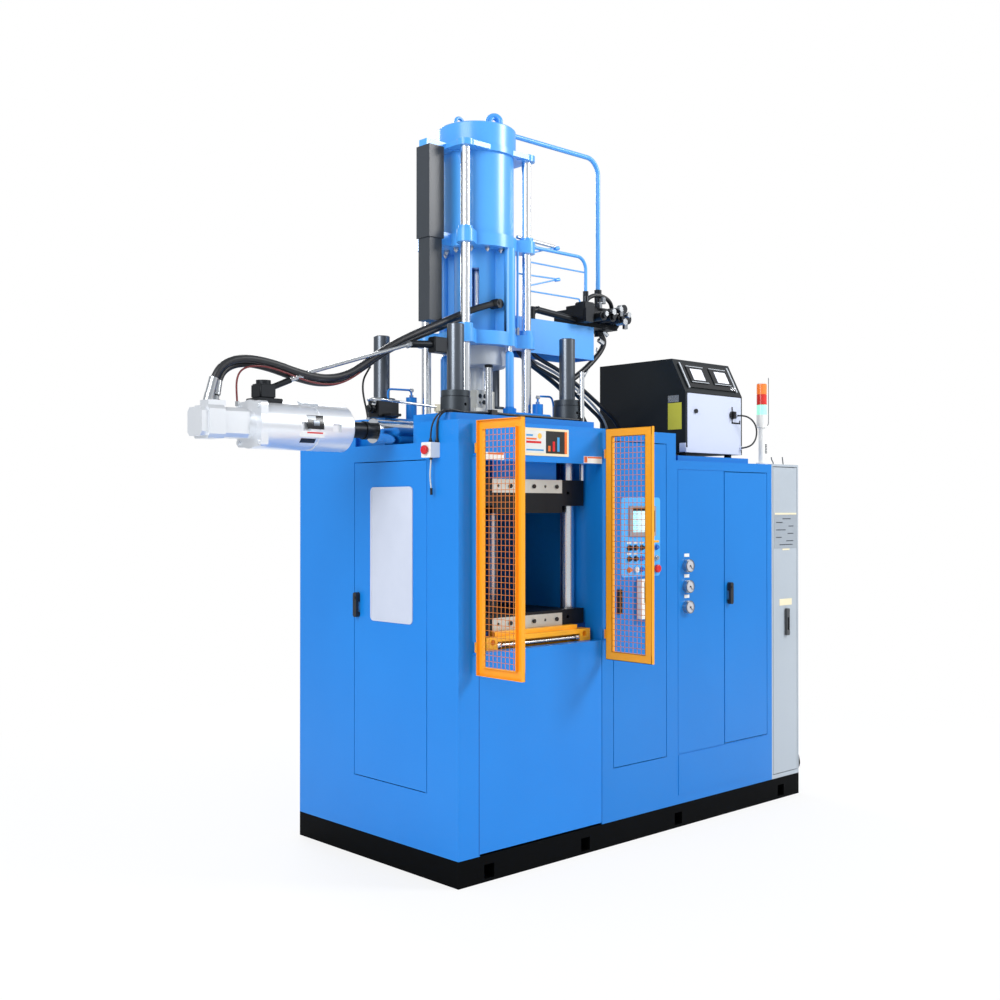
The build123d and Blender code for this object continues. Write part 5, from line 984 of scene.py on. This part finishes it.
boxes("front_seam", dark_blue_joints_and_painted_shade, "frame", "dark_blue_paint",
      (118.6, 121.2, -0.5, 0.5, 122, 905))
boxes("cabinet_placard", enamel("plate_grey", (158, 166, 174), (146, 154, 162), 0.3),
      "grey_door", "white_plate", (2362, 2584, -1.5, 0, 1411, 1600))
lines = Shape()
for row, (x0, x1) in enumerate(((2440, 2520), (2376, 2440), (2500, 2548), (2376, 2470),
                                (2490, 2548), (2376, 2430), (2476, 2548), (2410, 2540))):
    lines.block(x0, x1, -1.9, -1.2, 1576 - 21 * row, 1581 - 21 * row)
lines.done("placard_lines", sleeve_steel, "grey_door", "dark_steel")
boxes("placard_strips", plastic("strip_cream", (236, 226, 196), (226, 214, 180), 0.4),
      "grey_door", "white_plate", (2366, 2580, -1.2, 0, 1602, 1612),
      (2440, 2510, -1.2, 0, 1400, 1409), (2410, 2532, -1.2, 0, 1087, 1124))
paint("grey_door", enamel("latch_dark", (78, 80, 82), (62, 64, 66), 0.4),
      (2458, 2490, -16.6, -2, 916, 1070))
stub = Shape()
stub.pipe([(2585, 24, 238), (2612, 16, 222), (2618, 8, 168), (2604, 12, 140)], 15, 20)
stub.done("cable_stub", black_trim_and_hole_shade, "frame", "black_plastic", True)


# Rear and end covers
# Sheet covers screwed over the back and the free end, with folded edges that show as
# fine dark joints, pan-head screws, and pressed air slots behind the tank and pump, drawn
# as dark strips whose colour is painted shade for the openings.
BACK = 1208
END = 2600
JOINT = 2.6


def joint_lines(low, high, z0, z1):
    """The four edge strips of a sheet cover, along the wall it lies on and up it."""
    return ((low, high, z0, z0 + JOINT), (low, high, z1 - JOINT, z1),
            (low, low + JOINT, z0, z1), (high - JOINT, high, z0, z1))


joints, screws, slots = Shape(), Shape(), Shape()
for x0, x1, z0, z1 in ((30, 888, 170, 1960), (960, 1520, 170, 1850), (1560, 2300, 170, 1850),
                       (2360, 2580, 170, 1850)):
    for edge in joint_lines(x0, x1, z0, z1):
        joints.block(edge[0], edge[1], BACK - 0.5, BACK + 0.5, edge[2], edge[3])
    for x in (x0 + 22, (x0 + x1) / 2, x1 - 22):
        for z in (z0 + 22, (z0 + z1) / 2, z1 - 22):
            if x != (x0 + x1) / 2 or z != (z0 + z1) / 2:
                screws.bar((x, BACK - 0.5, z), (x, BACK + 3, z), 13, 12, 10)
for edge in joint_lines(40, 1168, 170, 1850):
    joints.block(END - 0.5, END + 0.5, *edge)
# The air slots are dark strips: painted shade for the openings.
for bank_z in (420, 1480):
    for number in range(9):
        for x0 in (1640, 1960):
            z0 = bank_z + 26 * number
            slots.block(x0, x0 + 250, BACK - 0.5, BACK + 2.5, z0, z0 + 8, 1)
joints.done("cover_joints", dark_blue_joints_and_painted_shade, "frame", "dark_blue_paint")
screws.done("cover_screws", turned_steel, "frame", "bright_steel", True)
slots.done("air_slot_shades", dark_blue_joints_and_painted_shade, "frame", "dark_blue_paint")

for plate_z, body in ((1110, "clamp"), (1740, "frame")):
    bolts = Shape()
    for bolt_x in (408, 560, 712):
        bolts.bar((bolt_x, 105.5, plate_z), (bolt_x, 99, plate_z), 20, 20)
    bolts.done("plate_bolts_" + body, black_trim_and_hole_shade, body, "black_oxide", True)
